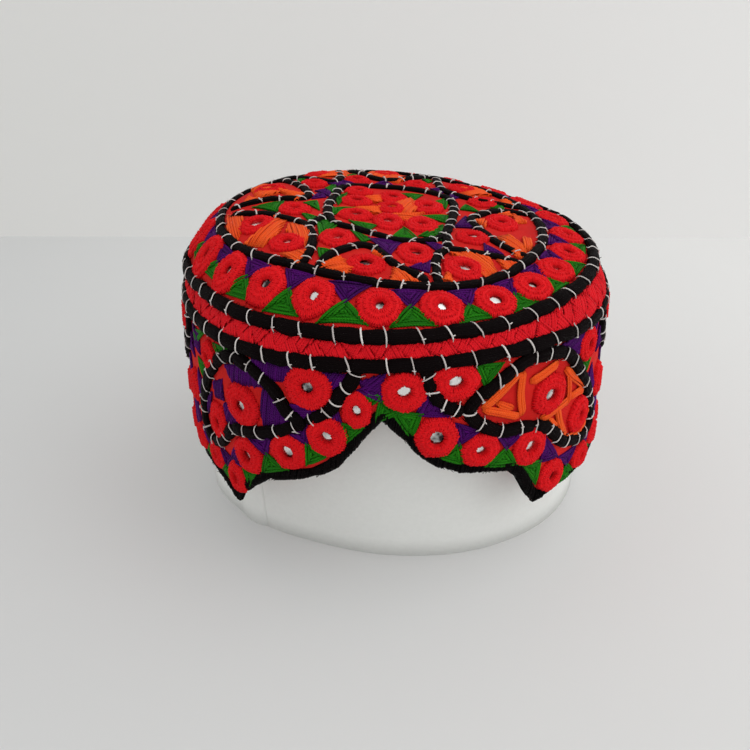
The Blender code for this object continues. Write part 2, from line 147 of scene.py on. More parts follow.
SEEN_BORDER_ANGLES = (200, 216.9, 233.9, 249.7, 267.8, 284, 299.5, 313.3, 326, 339.4, 354.9)
BORDER_ROSETTES_BEHIND = 11

# ---- embroidery charts ----
# Rosettes on the crown: x, y, half width, half depth.
PETAL_ROSETTES = (
    (-37.5, -39, 7.2, 6.8), (-7.5, -55, 7.4, 7.2), (29, -50.5, 8.4, 8.8), (48.8, -2.8, 7.0, 9.4),
    (-50, 22, 7.0, 6.6), (36.5, 41, 6.8, 6.4), (1.4, 56, 6.8, 6.4), (-30, 50.2, 6.8, 6.4),
)
OTHER_CROWN_ROSETTES = (
    (-51, -21, 7.6, 7.4), (-18.7, -34.2, 7.4, 8.4), (11, -42.6, 7.2, 9.2), (34.8, -22.8, 7.0, 6.8),
    (-37, -5.4, 7.0, 6.4), (43.5, 22, 6.8, 6.2), (-31, 30.5, 6.0, 5.6), (15.3, 39.8, 5.8, 5.4),
    (-12, 40.2, 5.8, 5.4), (-11, 23.2, 6.2, 5.4), (-11.8, 9.8, 6.8, 6.0), (-12, -7.6, 7.6, 6.8),
    (1.4, -12.3, 6.3, 9.0), (14.9, -12.6, 7.4, 8.6), (18.5, 9.6, 7.4, 8.4), (3.8, 18.2, 6.4, 7.0),
    (2.8, 4.8, 6.2, 6.4),
)
# Rosettes on the wall: degrees from the middle of the arch, height, half width, half height.
ARCH_ROW_LEFT = (
    (-5.4, 84.2, 5.4, 7.6), (-12.6, 72.8, 7.6, 8.6), (-22.4, 63.8, 7.8, 8.0), (-35.2, 55.6, 8.2, 8.2),
    (-41.2, 41.2, 6.0, 7.6), (-51.8, 43.8, 6.8, 6.6),
)
ARCH_ROW_RIGHT = (
    (5.2, 91.4, 8.4, 8.8), (12, 71.8, 8.2, 8.6), (22.2, 63.4, 7.8, 7.0), (35.6, 58.4, 7.8, 8.6),
    (43.2, 39.8, 7.2, 7.2), (56.2, 38.8, 7.0, 5.8),
)
ROW_HEIGHT = 41.8
ROW_SIZE = (7.2, 5.6)
# Degrees of the row's first and last unseen rosette on each side, and their number.
ROW_LEFT = (180, 65.2, 11)
ROW_RIGHT = (65.6, 169, 10)
# The first repeat leaves out what lies within this many degrees, where the front's own rosettes are.
FRONT_ENDS = 15
FRONT_UPPER = (
    (-16.2, 92.2, 9.2, 9.6), (-35.6, 77.4, 9.2, 9.0), (-47.2, 62.6, 7.0, 9.0), (-48.8, 90.4, 5.4, 6.6),
    (-64.4, 67.4, 6.8, 7.6), (16.6, 94.0, 9.0, 8.8), (41.2, 77.4, 8.4, 8.6), (53.6, 60, 7.4, 8.0),
    (55.4, 90, 6.6, 7.4), (66.6, 66, 6.8, 7.6),
)
REPEATED_UPPER = (
    # for the unseen sides: degrees inside one repeat
    (17.5, 95, 7.4, 7.2), (42, 77.4, 8, 7.6), (53.8, 61, 7, 7.2), (57.4, 89, 7, 7.2), (13.8, 69.5, 7.2, 7),
    (25, 58.5, 6.8, 6.4), (36.6, 56.5, 6, 5.6),
)
BACK_UPPER = ((180, 92, 6, 6.4), (180, 68, 7.2, 7))
# Fills on the wall: finish, turn of the threads in degrees, corners as degrees from the arch and height.
LEFT_LEAF_FILLS = (
    ("purple", 78, (-41.2, 91.2), (-33, 96.4), (-27, 94), (-27.6, 88.6), (-38.8, 84.6)),
    ("purple", 80, (-28, 88.8), (-23.4, 87), (-22.8, 82.6), (-19.4, 78.6), (-21.4, 75.4), (-24.4, 73),
     (-29.4, 71.8), (-28.8, 81.8)),
    ("purple", 72, (-48.4, 79.6), (-43.4, 83.6), (-43.4, 74.4), (-48.4, 72.6)),
    ("purple", 60, (-43.4, 73.6), (-37.8, 73.6), (-33.6, 69.6), (-40.8, 60.6), (-44, 66)),
    ("purple", 70, (-53.4, 71), (-50, 74), (-52, 66), (-55.6, 60), (-56.4, 64)),
)
UPPER_FILLS = (
    ("purple", 80, (-31.6, 99.6), (-18.8, 100.2), (-20.4, 96), (-21.8, 92.6), (-25.6, 92.4), (-28.6, 95.6)),
    ("purple", 62, (-14.4, 99.6), (-7.2, 98.8), (-10.2, 89.6), (-12.8, 94.6)),
    ("purple", 10, (-22, 83.8), (-14.6, 85.6), (-13.4, 82.4), (-18.2, 78.2)),
    ("purple", 42, (-4.8, 95.6), (1.4, 99.6), (-0.4, 90.8), (-3.2, 91.8)),
    ("purple", 62, (8.8, 92), (13.6, 82.8), (7.6, 81)),
    ("purple", 20, (44.4, 97.8), (55.4, 98.4), (52.6, 88.4), (48.6, 88.4)),
    ("green", 0, (-3.8, 91.4), (0.4, 89.8), (-2.4, 85.6)),
    ("green", 0, (-46.4, 97.6), (-37.6, 99.4), (-42.4, 92.4)),
    ("green", 0, (-60.2, 95.2), (-50.2, 100), (-58.4, 90)),
    ("green", 0, (21, 102), (28, 99.6), (23.2, 88.6)),
    ("green", 0, (12.6, 87.6), (20.4, 88.4), (17, 85.4)),
)
REPEATED_FILLS = (
    # for the unseen sides, inside one repeat
    ("purple", 62, (8.8, 92), (13.6, 82.8), (7.6, 81)),
    ("purple", 30, (1, 96), (7.4, 97), (6, 88), (1.6, 86)),
    ("purple", 20, (44.4, 97.8), (52.6, 98.4), (50.6, 91), (47.6, 91.4)),
    ("green", 0, (20.6, 100), (27.4, 98.6), (23.2, 89)),
    ("green", 0, (12.6, 87.6), (20.4, 88.4), (17, 85.4)),
    ("green", 0, (-2.4, 84), (4.4, 84), (1, 76)),
    ("purple", 40, (16, 78), (23.4, 69), (18.4, 63), (15.4, 68.6)),
    ("purple", 20, (27, 67.6), (33.4, 65), (31, 59), (26.4, 62)),
    ("green", 0, (28, 52), (35, 52), (31.4, 48.4)),
    ("purple", 70, (5.6, 78), (9, 66), (4, 62), (0, 70)),
    ("purple", 25, (16.6, 61), (20, 54.6), (17.6, 48.8), (10.4, 49.6), (12, 59)),
    ("green", 0, (20.4, 51.4), (27, 51), (23.6, 48)),
    ("purple", 60, (38.6, 50), (44, 54), (48, 48.4), (41, 47.8)),
    ("purple", 15, (28, 67), (37, 65), (41, 60), (44, 56), (36, 63.4), (29, 64.4)),
)
BACK_FILLS = (
    # between the two last leaves: degrees from the middle of the back, on both sides of it
    ("purple", 20, (3.4, 59.5), (7.2, 60), (6.4, 50.4), (3, 50.4)),
    ("purple", 80, (5.2, 78), (11.6, 81), (13.2, 74), (9.6, 66), (5.8, 72)),
    ("purple", 40, (17.6, 96.5), (20.6, 97), (22.6, 91.5), (18.6, 84), (17, 86)),
    ("green", 0, (8.6, 84), (13, 82.6), (9.6, 90)),
)
MIDDLE_BACK_FILLS = (
    ("green", 0, (-3.2, 57.5), (3.2, 57.5), (0, 50.6)),
    ("green", 0, (-3.2, 80.6), (3.2, 80.6), (0, 76)),
)
# Stitched triangles and fills on the crown, corners in plan.
CROWN_GREENS = (
    ((-20.6, 12.9), (-15.5, 21.6), (-19.6, 2.4)), ((-21.5, 0.2), (-12, 2.5), (-21.3, -9.8)),
    ((-26.4, -17.2), (-18.5, -15.9), (-22.9, -27.1)), ((-14.6, -14.2), (-3.2, -17), (-7.4, -26.4)),
    ((7.4, 25.3), (17.7, 26.3), (13.1, 17.1)), ((21.8, 17.8), (28, 23.9), (26.4, 8.8)),
    ((14.4, -2.4), (26.8, 2), (25, -8.4)), ((13.2, -25), (23.8, -10.4), (22.2, -27.6)),
    ((2, -30), (7.6, -16.6), (13, -29)), ((-27.3, -18.5), (-17.5, -16.7), (-25, -35.4)),
    ((-13.7, -24.5), (-4.7, -32.9), (-9, -36.8)), ((-25.6, -43.3), (-19.3, -46.3), (-24.3, -52.8)),
    ((-55.2, -2), (-42.2, 4.3), (-44, -9.3)), ((-34.1, 3.5), (-28.5, 7.6), (-26.6, -5.1)),
    ((-34.5, -9.3), (-27.4, -12.5), (-29.7, -20.1)), ((32.7, 9.8), (35.7, 17.8), (41.4, 8.5)),
    ((46.1, 16.3), (51.7, 24.7), (53.2, 13.2)), ((-26, 25.1), (-21.4, 33.3), (-21.9, 18.4)),
    ((-39, 33.1), (-30.6, 38.5), (-38.6, 40.2)), ((9.4, 34.5), (18.9, 34.5), (15, 31.2)),
    ((-18.3, 45.8), (-14.4, 52.3), (-11.4, 45.8)), ((20.6, 45.1), (23.6, 51.8), (18.2, 52.2)),
)
CROWN_PURPLES = (
    ((-7, -31.2), (6, -34), (1.4, -46.8)), ((13.9, -29.1), (22.8, -32.3), (19.7, -38.8)),
    ((8.2, -54.8), (17, -46.1), (15.6, -57.5)), ((28, -12.8), (34.3, 2.5), (37.9, -12.1)),
    ((38.6, -27.4), (45.7, -36.3), (38.1, -36.3)), ((-25.9, 33.2), (-14.5, 39.3), (-16.8, 26.5)),
    ((-30.3, 20.5), (-23.1, 25.2), (-23.6, 13.8)), ((29.1, 22), (36.1, 28.7), (30.2, 31.9)),
    ((-4.5, 35.8), (5.1, 35.8), (0.4, 41.8)), ((-30.9, 8.9), (-24.7, 12.5), (-27.8, 18.1)),
    ((26.1, 30.1), (29, 38.4), (20.9, 36.1)), ((-21.9, 39), (-17.8, 32.7), (-12.5, 34.9)),
)
LINK_ROUTES = (
    # cords between the middle panel and the petals, in plan
    ((24.8, -21.6), (24, -28.4), (24.2, -35)),
    ((-23.4, -11), (-27, -17.6), (-30.6, -24.4)),
)
# Strokes of orange in the right leaf: width, then corners of each band's middle line.
LEAF_STROKES = (
    (3.2, (22.6, 80.4), (27.6, 86), (32.4, 92)),
    (3.0, (32.8, 92), (32.2, 82), (33, 73)),
    (3.0, (32.4, 73), (27, 77.2), (22.8, 80)),
    (2.4, (26.2, 81.6), (30.6, 77.2)),
    (3.7, (35, 86), (39.4, 87.6), (43.6, 89.6)),
    (3.3, (46.4, 85), (50.4, 78.6), (55.6, 71.4)),
    (2.7, (47.6, 82.6), (48.2, 75), (48, 68)),
    (3.2, (48.4, 71.4), (52, 71.4), (55.8, 70.2)),
    (3.5, (38.6, 68.2), (43.6, 69.4), (48.6, 71)),
    (3.3, (44, 70.4), (45.4, 62), (48, 53.6)),
    (3.6, (47.6, 52.8), (53.6, 51.6), (59, 53.6)),
    (2.7, (59.8, 54.6), (60, 61), (57.6, 68.4)),
    (2.4, (41, 67), (44.4, 60.6)),
)
# Orange fills on the crown: turn of the threads, then corners in plan.
CROWN_ORANGES = (
    (66, (-44, -14.6), (-39, -18), (-41.4, -32.6), (-46.6, -40), (-54.6, -36), (-48.2, -26)),
    (-78, (-38.4, -20.4), (-31.8, -21.8), (-28.8, -32.5), (-30.2, -43.6), (-34.6, -36), (-38.6, -30)),
    (-46, (-40.4, -46), (-29.2, -46), (-30, -57.6)),
    (-78, (-65.4, -3), (-57.8, -11), (-56.2, -22.5), (-58.2, -33), (-63, -19)),
    (14, (-27.6, -58), (-17, -50.6), (-11, -58.6), (-14.8, -62.4)),
    (70, (-5.4, -46), (-1.6, -40.6), (-0.2, -51.6)),
    (-60, (2.4, -55.6), (12.6, -66), (0.8, -67)),
    (-57, (24.4, -40), (29, -32.4), (39.6, -42), (42, -54), (36.4, -58), (31.6, -47)),
    (0, (19.4, -61.6), (22.6, -55.8), (24.8, -62.4)),
    (-60, (41.8, -41), (49.8, -43.6), (45.4, -52)),
    (75, (37.4, -3.2), (42.8, 0.4), (41.4, -10.6)),
    (-62, (44.6, -19.6), (49.6, -16.4), (55.2, -29), (55, -39.6), (50, -38.6)),
    (86, (56, -15), (58.6, -18), (57.4, -31), (54.6, -30.6)),
    (20, (47.4, 6.4), (54.2, 12), (55, 6.2)),
    (-75, (55.2, 12.4), (60, 1), (54.8, -1.6)),
    (30, (-47.4, 20.6), (-33.4, 14.6), (-36.8, 4.6)),
    (60, (-59.2, 30.4), (-53, 39.4), (-44.4, 14.6), (-54.4, 8.6)),
    (60, (-60, 2), (-53, 8), (-58, 13.6)),
    (10, (-40.4, 50.4), (-29.2, 58), (-17, 62.4), (-14.8, 45), (-29.2, 42.4)),
    (70, (-8, 50), (-4.4, 61), (6, 63), (12.4, 50.6), (7, 41), (-2, 43)),
    (40, (32.4, 41), (49.6, 54.6), (49, 36.2), (36.6, 28.6)),
    (0, (52, 30), (58, 34), (57.6, 22.4), (52.6, 21)),
    (10, (-10.1, 15.8), (1.9, 20.3), (-2.8, 8.3)),
    (10, (-14.2, 0), (-0.2, 4.7), (-2, -4.9)),
    (70, (2.7, 8), (12.5, 22.1), (15.9, 10.4), (9.7, -5.2)),
    (0, (0.8, -3.5), (17.2, 0.4), (10.4, -13.9)),
)


# ---- faces ----
def around(values, angle):
    """Smooth closed curve through values given at equal steps of a full turn."""
    values = np.asarray(values, float)
    place = np.asarray(angle) / math.tau * len(values) % len(values)
    index = place.astype(int)
    part = place - index
    before, start, end, after = (values[(index + step) % len(values)] for step in (-1, 0, 1, 2))
    slope_start = (end - before) / 2
    slope_end = (after - start) / 2
    rise = end - start
    return start + part * (slope_start + part * (3 * rise - 2 * slope_start - slope_end
                                                 + part * (slope_start + slope_end - 2 * rise)))


def crown_radius(angle):
    return around(OUTLINE[:, 3], angle)


def wall_radius(angle, height):
    """Distance from the axis to the wall and the shoulder above it."""
    reach = 0
    for column, level in enumerate(LEVELS):
        share = 1
        for other in LEVELS:
            if other != level:
                share = share * (height - other) / (level - other)
        reach = reach + around(OUTLINE[:, column], angle) * share
    climb = np.clip((height - SHOULDER_LEVEL) / (CROWN_LEVEL - SHOULDER_LEVEL), 0, None) ** SHOULDER_POWER
    return reach + (crown_radius(angle) - reach) * climb


def wall_face(along, height):
    """Point of the wall, along it from the middle of the arch and up; its top sinks a little in front."""
    angle = np.radians(ARCH_MIDDLE + along / DEGREE)
    reach = wall_radius(angle, height)
    sunk = around(EDGE_DROPS, angle) * np.clip((height - DROP_START) / (DROP_FULL - DROP_START), 0, 1)
    return np.stack([reach * np.cos(angle), reach * np.sin(angle), height + 0 * along - sunk], axis=-1)


def crown_face(x, y):
    """Point of the crown's upper side over a place in plan."""
    angle = np.arctan2(y, x)
    share = np.hypot(x, y) / crown_radius(angle)
    lean = (LEAN_X * x + LEAN_Y * y) * (1 - share ** LEAN_POWER)
    dome = CROWN_RISE * (1 - share ** CROWN_POWER)
    height = CROWN_LEVEL + dome + lean - around(EDGE_DROPS, angle) * share ** 2
    return np.stack([x + 0 * y, y + 0 * x, height], axis=-1)


def jitter(size, count):
    """A column of random values about nought."""
    return chance.normal(0, size, (count, 1))


def pairs(first, second):
    return np.stack([first, second], axis=-1)


def unit(vectors):
    return vectors / np.linalg.norm(vectors, axis=-1, keepdims=True)


def on_circle(reach, angle):
    """Places in plan at a distance from the axis."""
    return pairs(reach * np.cos(angle), reach * np.sin(angle))


def wall_along(degrees):
    """Distance along the wall from the middle of the arch."""
    return (degrees - ARCH_MIDDLE) * DEGREE


def travelled(points):
    """Distance covered along a row of points."""
    return np.concatenate([[0], np.cumsum(np.linalg.norm(np.diff(points, axis=0), axis=1))])


def upright(face, flat):
    """Points of a face and its outward normals at flat places."""
    first, second = flat[..., 0], flat[..., 1]
    step = 0.2
    along = face(first + step, second) - face(first - step, second)
    across = face(first, second + step) - face(first, second - step)
    return face(first, second), unit(np.cross(along, across))


def lay(face, flat, lift):
    """Flat places raised off a face by a lift, with the face's normals."""
    flat = np.asarray(flat, float)
    points, normals = upright(face, flat)
    return points + normals * np.asarray(lift, float)[..., None], normals


def rim_height(degrees, offset=0):
    """Height of the rim's lower edge, or of the line that runs parallel above it."""
    angles, heights = zip(*RIM_LINE)
    lowest = angles[0]
    degrees = np.asarray(degrees, float)
    if not np.any(offset):
        return np.interp((degrees - lowest) % 360 + lowest, angles, heights)
    share = np.linspace(-1, 1, 41)
    reach = np.asarray(offset, float)[..., None] * share
    return (rim_height(degrees[..., None] + reach / DEGREE)
            + np.asarray(offset, float)[..., None] * np.sqrt(1 - share ** 2)).max(axis=-1)


# ---- finishes ----
def fill(tree, inputs, values):
    """Give inputs their values, or link to them the outputs given instead."""
    for key, value in values.items():
        if isinstance(value, bpy.types.NodeSocket):
            tree.links.new(value, inputs[key])
        else:
            inputs[key].default_value = value


def node(tree, kind, values=None, **settings):
    """A new shader node with its settings and inputs."""
    made = tree.nodes.new("ShaderNode" + kind)
    for key, value in settings.items():
        setattr(made, key, value)
    fill(tree, made.inputs, values or {})
    return made


def maths(tree, operation, *values):
    return node(tree, "Math", dict(enumerate(values)), operation=operation).outputs[0]


def noise(tree, scale, detail):
    place = node(tree, "TexCoord").outputs["Object"]
    return node(tree, "TexNoise", {"Vector": place, "Scale": scale, "Detail": detail}).outputs["Fac"]


def stretched(tree, value, low, high):
    """What lies from low to high, as 0 to 1."""
    return node(tree, "MapRange", {"Value": value, "From Min": low, "From Max": high}).outputs[0]


def between(tree, value, low, high):
    """What lies from 0 to 1, as low to high."""
    return node(tree, "MapRange", {"Value": value, "To Min": low, "To Max": high}).outputs[0]


def blend(tree, share, first, second):
    return node(tree, "Mix", {"Factor": share, "A": first, "B": second}, data_type="RGBA").outputs["Result"]


def relief(tree, height, strength):
    values = {"Height": height, "Strength": strength, "Distance": RELIEF_DEPTH}
    return node(tree, "Bump", values).outputs["Normal"]


def new_group(name, **numbers):
    """A node group that takes two tones and some numbers, and gives a colour, a height and a roughness."""
    group = bpy.data.node_groups.new(name, "ShaderNodeTree")
    for key, value in {"Light": (0.8, 0.8, 0.8, 1), "Deep": (0.2, 0.2, 0.2, 1), **numbers}.items():
        kind = "NodeSocketFloat" if key in numbers else "NodeSocketColor"
        group.interface.new_socket(name=key, in_out="INPUT", socket_type=kind).default_value = value
    for key, kind in (("Color", "Color"), ("Height", "Float"), ("Roughness", "Float")):
        group.interface.new_socket(name=key, in_out="OUTPUT", socket_type="NodeSocket" + kind)
    return group, group.nodes.new("NodeGroupInput").outputs, group.nodes.new("NodeGroupOutput").inputs


def flat_map(tree):
    """The two distances of a piece's own flat map."""
    return node(tree, "SeparateXYZ", {0: node(tree, "UVMap").outputs["UV"]}).outputs


def thread_group():
    """Tone and twist of a thread: a tone for each strand, plies that wind round it, and dusty wear."""
    group, given, out = new_group("thread_tone", Plies=1.4, Turns=2.0, Wear=0.3)
    shade = node(group, "Attribute", attribute_name="shade").outputs["Fac"]
    flat = flat_map(group)
    along = maths(group, "MULTIPLY", flat["X"], given["Plies"])
    turned = maths(group, "MULTIPLY_ADD", flat["Y"], given["Turns"], along)
    ply = maths(group, "SINE", maths(group, "MULTIPLY", turned, math.tau))
    dust = noise(group, 900, 3)
    tone = maths(group, "MULTIPLY_ADD", ply, 0.14, shade)
    tone = maths(group, "MULTIPLY_ADD", noise(group, 60, 2), 0.6, tone)
    tone = maths(group, "MULTIPLY_ADD", dust, given["Wear"], tone)
    share = stretched(group, tone, 0.25, 1.35)
    fill(group, out, {"Color": blend(group, share, given["Deep"], given["Light"]),
                      "Height": maths(group, "MULTIPLY_ADD", dust, 0.5, ply),
                      "Roughness": between(group, dust, 0.5, 0.8)})
    return group


def weave_group():
    """Plain weave on a piece's own flat map in millimetres, with slow patches of tone."""
    group, given, out = new_group("plain_weave", Threads=1.6)
    flat = flat_map(group)
    waves = [maths(group, "MULTIPLY", maths(group, "MULTIPLY", flat[axis], given["Threads"]), math.pi)
             for axis in ("X", "Y")]
    crossing = maths(group, "MULTIPLY", *[maths(group, "SINE", wave) for wave in waves])
    patchy = noise(group, 90, 4)
    tone = stretched(group, maths(group, "MULTIPLY_ADD", crossing, 0.12, patchy), 0.25, 0.75)
    fill(group, out, {"Color": blend(group, tone, given["Deep"], given["Light"]), "Height": crossing,
                      "Roughness": between(group, patchy, 0.7, 0.92)})
    return group


def linear(colour):
    """A colour picked from 0 to 255, made linear."""
    return (*[(part / 255 / 12.92) if part < 11 else ((part / 255 + 0.055) / 1.055) ** 2.4
              for part in colour], 1)


def new_finish(name, values):
    """A material, its node tree and the inputs of its shader, some of them given."""
    made = bpy.data.materials.new(name)
    made.use_nodes = True
    inputs = made.node_tree.nodes["Principled BSDF"].inputs
    fill(made.node_tree, inputs, values)
    return made, made.node_tree, inputs


def linked_finish(name, group, values, bump, sheen, specular, sheen_tint):
    """A material whose colour, roughness and bump come from one of the groups."""
    made, tree, inputs = new_finish(name, {"Sheen Weight": sheen, "Sheen Roughness": 0.4,
                                           "Sheen Tint": linear(sheen_tint), "Specular IOR Level": specular})
    look = node(tree, "Group", node_tree=group)
    fill(tree, look.inputs, values)
    fill(tree, inputs, {"Base Color": look.outputs["Color"], "Roughness": look.outputs["Roughness"],
                        "Normal": relief(tree, look.outputs["Height"], bump)})
    return made


def thread_finish(name, light, deep, sheen, specular, plies=0.9, turns=2.0, wear=0.3, sheen_tint=None):
    values = {"Light": linear(light), "Deep": linear(deep), "Plies": plies, "Turns": turns, "Wear": wear}
    return linked_finish(name, THREADS, values, THREAD_BUMP, sheen, specular, sheen_tint or light)


def mirror_finish():
    """Thin mirror glass; a slow noise paints reflections on it, dark on some mirrors and bright on others, and
    varies its roughness.
    """
    made, tree, inputs = new_finish("mirror_glass", {"Metallic": 1.0})
    painted_reflection_noise = noise(tree, 150, 4)
    # Painted reflection: the mirrors' colour runs from dark to bright with the noise, standing in for the dark
    # and bright things they would mirror.
    tint = blend(tree, stretched(tree, painted_reflection_noise, 0.37, 0.55), linear((52, 42, 44)), linear((234, 234, 232)))
    fill(tree, inputs, {"Base Color": tint, "Roughness": between(tree, painted_reflection_noise, 0.06, 0.3)})
    return made


def paper_finish(name, light, deep, fibre_scale):
    """Plain matt paper with faint fibres."""
    made, tree, inputs = new_finish(name, {"Specular IOR Level": 0.25})
    fibre = noise(tree, fibre_scale, 6)
    fill(tree, inputs, {"Base Color": blend(tree, fibre, linear(deep), linear(light)),
                        "Roughness": between(tree, fibre, 0.6, 0.85), "Normal": relief(tree, fibre, 0.12)})
    return made


def floor_finish(name, light, deep, glow):
    """Pale paper with painted shade, a little darker towards the front left, that glows a little of itself to
    lighten the shadows on it.
    """
    made = paper_finish(name, light, deep, 3)
    tree = made.node_tree
    place = node(tree, "TexCoord").outputs["Object"]
    # Painted shade: the colour darkens towards the front left, as if less light fell there.
    lean = node(tree, "VectorMath", {0: place, 1: (1.0, 0.25, 0)}, operation="DOT_PRODUCT").outputs["Value"]
    tint = blend(tree, stretched(tree, lean, -0.25, 0.3), linear(deep), linear(light))
    # Painted light: the paper glows with its own colour, which lightens the shadows cast on it.
    fill(tree, tree.nodes["Principled BSDF"].inputs,
         {"Base Color": tint, "Emission Color": tint, "Emission Strength": glow})
    return made


def see_through_behind(made):
    """Let a backdrop be seen through from its back, so that the cap shows from every side."""
    tree = made.node_tree
    mix = node(tree, "MixShader", {"Fac": node(tree, "NewGeometry").outputs["Backfacing"],
                                   1: tree.nodes["Principled BSDF"].outputs["BSDF"],
                                   2: node(tree, "BsdfTransparent").outputs["BSDF"]})
    fill(tree, tree.nodes["Material Output"].inputs, {"Surface": mix.outputs["Shader"]})
    return made


RELIEF_DEPTH = 0.0002
THREAD_BUMP = 0.5
PINK_SHEEN = (230, 70, 120)
THREADS = thread_group()
WEAVE = weave_group()

# Name, light tone, deep tone, sheen, shine.
RED = thread_finish("red_thread", (246, 22, 30), (212, 8, 20), 0.08, 0.15, sheen_tint=PINK_SHEEN)
GREEN = thread_finish("green_thread", (34, 128, 8), (12, 86, 3), 0.04, 0.12)
PURPLE = thread_finish("purple_thread", (84, 4, 108), (46, 2, 68), 0.03, 0.1)
ORANGE = thread_finish("orange_thread", (255, 98, 26), (238, 66, 10), 0.04, 0.2)
WHITE = thread_finish("white_thread", (240, 234, 230), (176, 166, 164), 0.05, 0.35, wear=0.2)
# The black thread's light tone has a faint red cast, painted in for red light thrown on it by the red cloth
# around it.
BLACK = thread_finish("black_thread", (14, 5, 6), (4, 1, 2), 0, 0.05, plies=0.03, turns=14)
BINDING_BLACK = thread_finish("binding_thread", (12, 7, 8), (3, 2, 2), 0, 0.06)
BAND_RED = thread_finish("band_red_thread", (240, 20, 34), (206, 8, 24), 0.08, 0.15, sheen_tint=PINK_SHEEN)
RED_CLOTH = linked_finish("red_cloth", WEAVE, {"Light": linear((226, 40, 34)), "Deep": linear((200, 22, 22))},
                          0.5, 0.04, 0.12, (230, 90, 90))
MIRROR = mirror_finish()
PAPER_WHITE = paper_finish("paper_white", (242, 243, 240), (234, 235, 232), 500)


# ---- meshes ----
def link_piece(name, data, finishes):
    for finish in finishes:
        data.materials.append(finish)
    piece = bpy.data.objects.new(name, data)
    bpy.context.scene.collection.objects.link(piece)
    return piece


def rolled(name, places, finish, spread, round_seam=False):
    """A grid of bmesh faces laid through rows of places; spread is its real size in mm for the flat map."""
    rows, columns = places.shape[:2]
    mesh = bmesh.new()
    mesh.loops.layers.uv.new("UVMap")
    bmesh.ops.create_grid(mesh, x_segments=columns - 1, y_segments=rows - 1, size=1, calc_uvs=True)
    mesh.verts.ensure_lookup_table()
    for vertex, place in zip(mesh.verts, places.reshape(-1, 3) * MM):
        vertex.co = place
    layer = mesh.loops.layers.uv.active
    for face in mesh.faces:
        face.smooth = True
        for corner in face.loops:
            corner[layer].uv = (corner[layer].uv.x * spread[0], corner[layer].uv.y * spread[1])
    if round_seam:
        bmesh.ops.remove_doubles(mesh, verts=mesh.verts, dist=1e-6)
    data = bpy.data.meshes.new(name)
    mesh.to_mesh(data)
    mesh.free()
    return link_piece(name, data, [finish])


def thicken(piece, thickness):
    """Give a laid sheet its thickness, inwards from the face that shows."""
    wall = piece.modifiers.new("thickness", "SOLIDIFY")
    wall.thickness = thickness * MM
    wall.offset = -1
    wall.use_even_offset = False
    return piece


def strands(points, normals, width, height, finish=0, sides=4, shade=None):
    """Rings of tubes along rows of points: half width across the face and half height off it, in mm."""
    points = np.asarray(points, float)
    tangents = unit(np.gradient(points, axis=1))
    across = unit(np.cross(tangents, normals))
    up = np.cross(across, tangents)
    turn = np.linspace(0, math.tau, sides, endpoint=False)
    width = np.broadcast_to(width, points.shape[:2])[..., None, None]
    height = np.broadcast_to(height, points.shape[:2])[..., None, None]
    rings = (points[:, :, None] + across[:, :, None] * width * np.cos(turn)[:, None]
             + up[:, :, None] * height * np.sin(turn)[:, None])
    steps = np.linalg.norm(np.diff(points, axis=1), axis=-1)
    along = np.concatenate([np.zeros((len(points), 1)), np.cumsum(steps, axis=1)], axis=1)
    return rings, along, finish, shade


def joined(name, batches, finishes):
    """One mesh from batches of rings, each row of rings a closed skin with flat ends."""
    places, corners, totals, maps, shades, numbers = [], [], [], [], [], []
    base = 0
    for rings, along, finish, shade in batches:
        count, length, sides = rings.shape[:3]
        index = base + np.arange(count * length * sides).reshape(count, length, sides)
        onward = np.roll(index, -1, axis=2)
        quads = np.stack([index[:, :-1], index[:, 1:], onward[:, 1:], onward[:, :-1]], axis=-1)
        share = np.arange(sides) / sides
        near = np.broadcast_to(along[:, :-1, None], quads.shape[:3])
        far = np.broadcast_to(along[:, 1:, None], quads.shape[:3])
        here = np.broadcast_to(share, quads.shape[:3])
        there = here + 1 / sides
        pairs = ((near, here), (far, here), (far, there), (near, there))
        flat = np.stack([np.stack(pair, axis=-1) for pair in pairs], axis=-2)
        ends = np.concatenate([index[:, 0], index[:, -1, ::-1]])
        end_map = np.zeros((*ends.shape, 2))
        end_map[..., 1] = share
        places.append(rings.reshape(-1, 3))
        corners += [quads.reshape(-1), ends.reshape(-1)]
        totals += [np.full(quads.size // 4, 4), np.full(len(ends), sides)]
        maps += [flat.reshape(-1, 2), end_map.reshape(-1, 2)]
        tone = chance.random(count) if shade is None else np.broadcast_to(shade, count)
        shades.append(np.repeat(tone, length * sides))
        finish = np.broadcast_to(finish, count)
        numbers += [np.repeat(finish, (length - 1) * sides), np.tile(finish, 2)]
        base += count * length * sides
    places, corners, totals = (np.concatenate(part) for part in (places, corners, totals))
    data = bpy.data.meshes.new(name)
    data.vertices.add(len(places))
    data.vertices.foreach_set("co", (places * MM).astype(np.float32).ravel())
    data.loops.add(len(corners))
    data.loops.foreach_set("vertex_index", corners.astype(np.int32))
    data.polygons.add(len(totals))
    data.polygons.foreach_set("loop_start", np.concatenate([[0], np.cumsum(totals)[:-1]]).astype(np.int32))
    data.polygons.foreach_set("material_index", np.concatenate(numbers).astype(np.int32))
    data.update(calc_edges=True)
    layer = data.uv_layers.new(name="UVMap")
    layer.data.foreach_set("uv", np.concatenate(maps).astype(np.float32).ravel())
    tone = data.attributes.new("shade", "FLOAT", "POINT")
    tone.data.foreach_set("value", np.concatenate(shades).astype(np.float32))
    data.shade_smooth()
    return link_piece(name, data, finishes)


def taper(count, ends):
    """Width of a thread along its points, narrower where it dives into the cloth."""
    profile = np.ones(count)
    profile[0] = profile[-1] = ends
    return profile


def threads(points, normals, size, ends, finish=0, sides=4, shade=None):
    """Threads of one half width and half height, with narrower ends."""
    profile = taper(points.shape[1], ends)
    return strands(points, normals, size[0] * profile, size[1] * profile, finish, sides, shade)


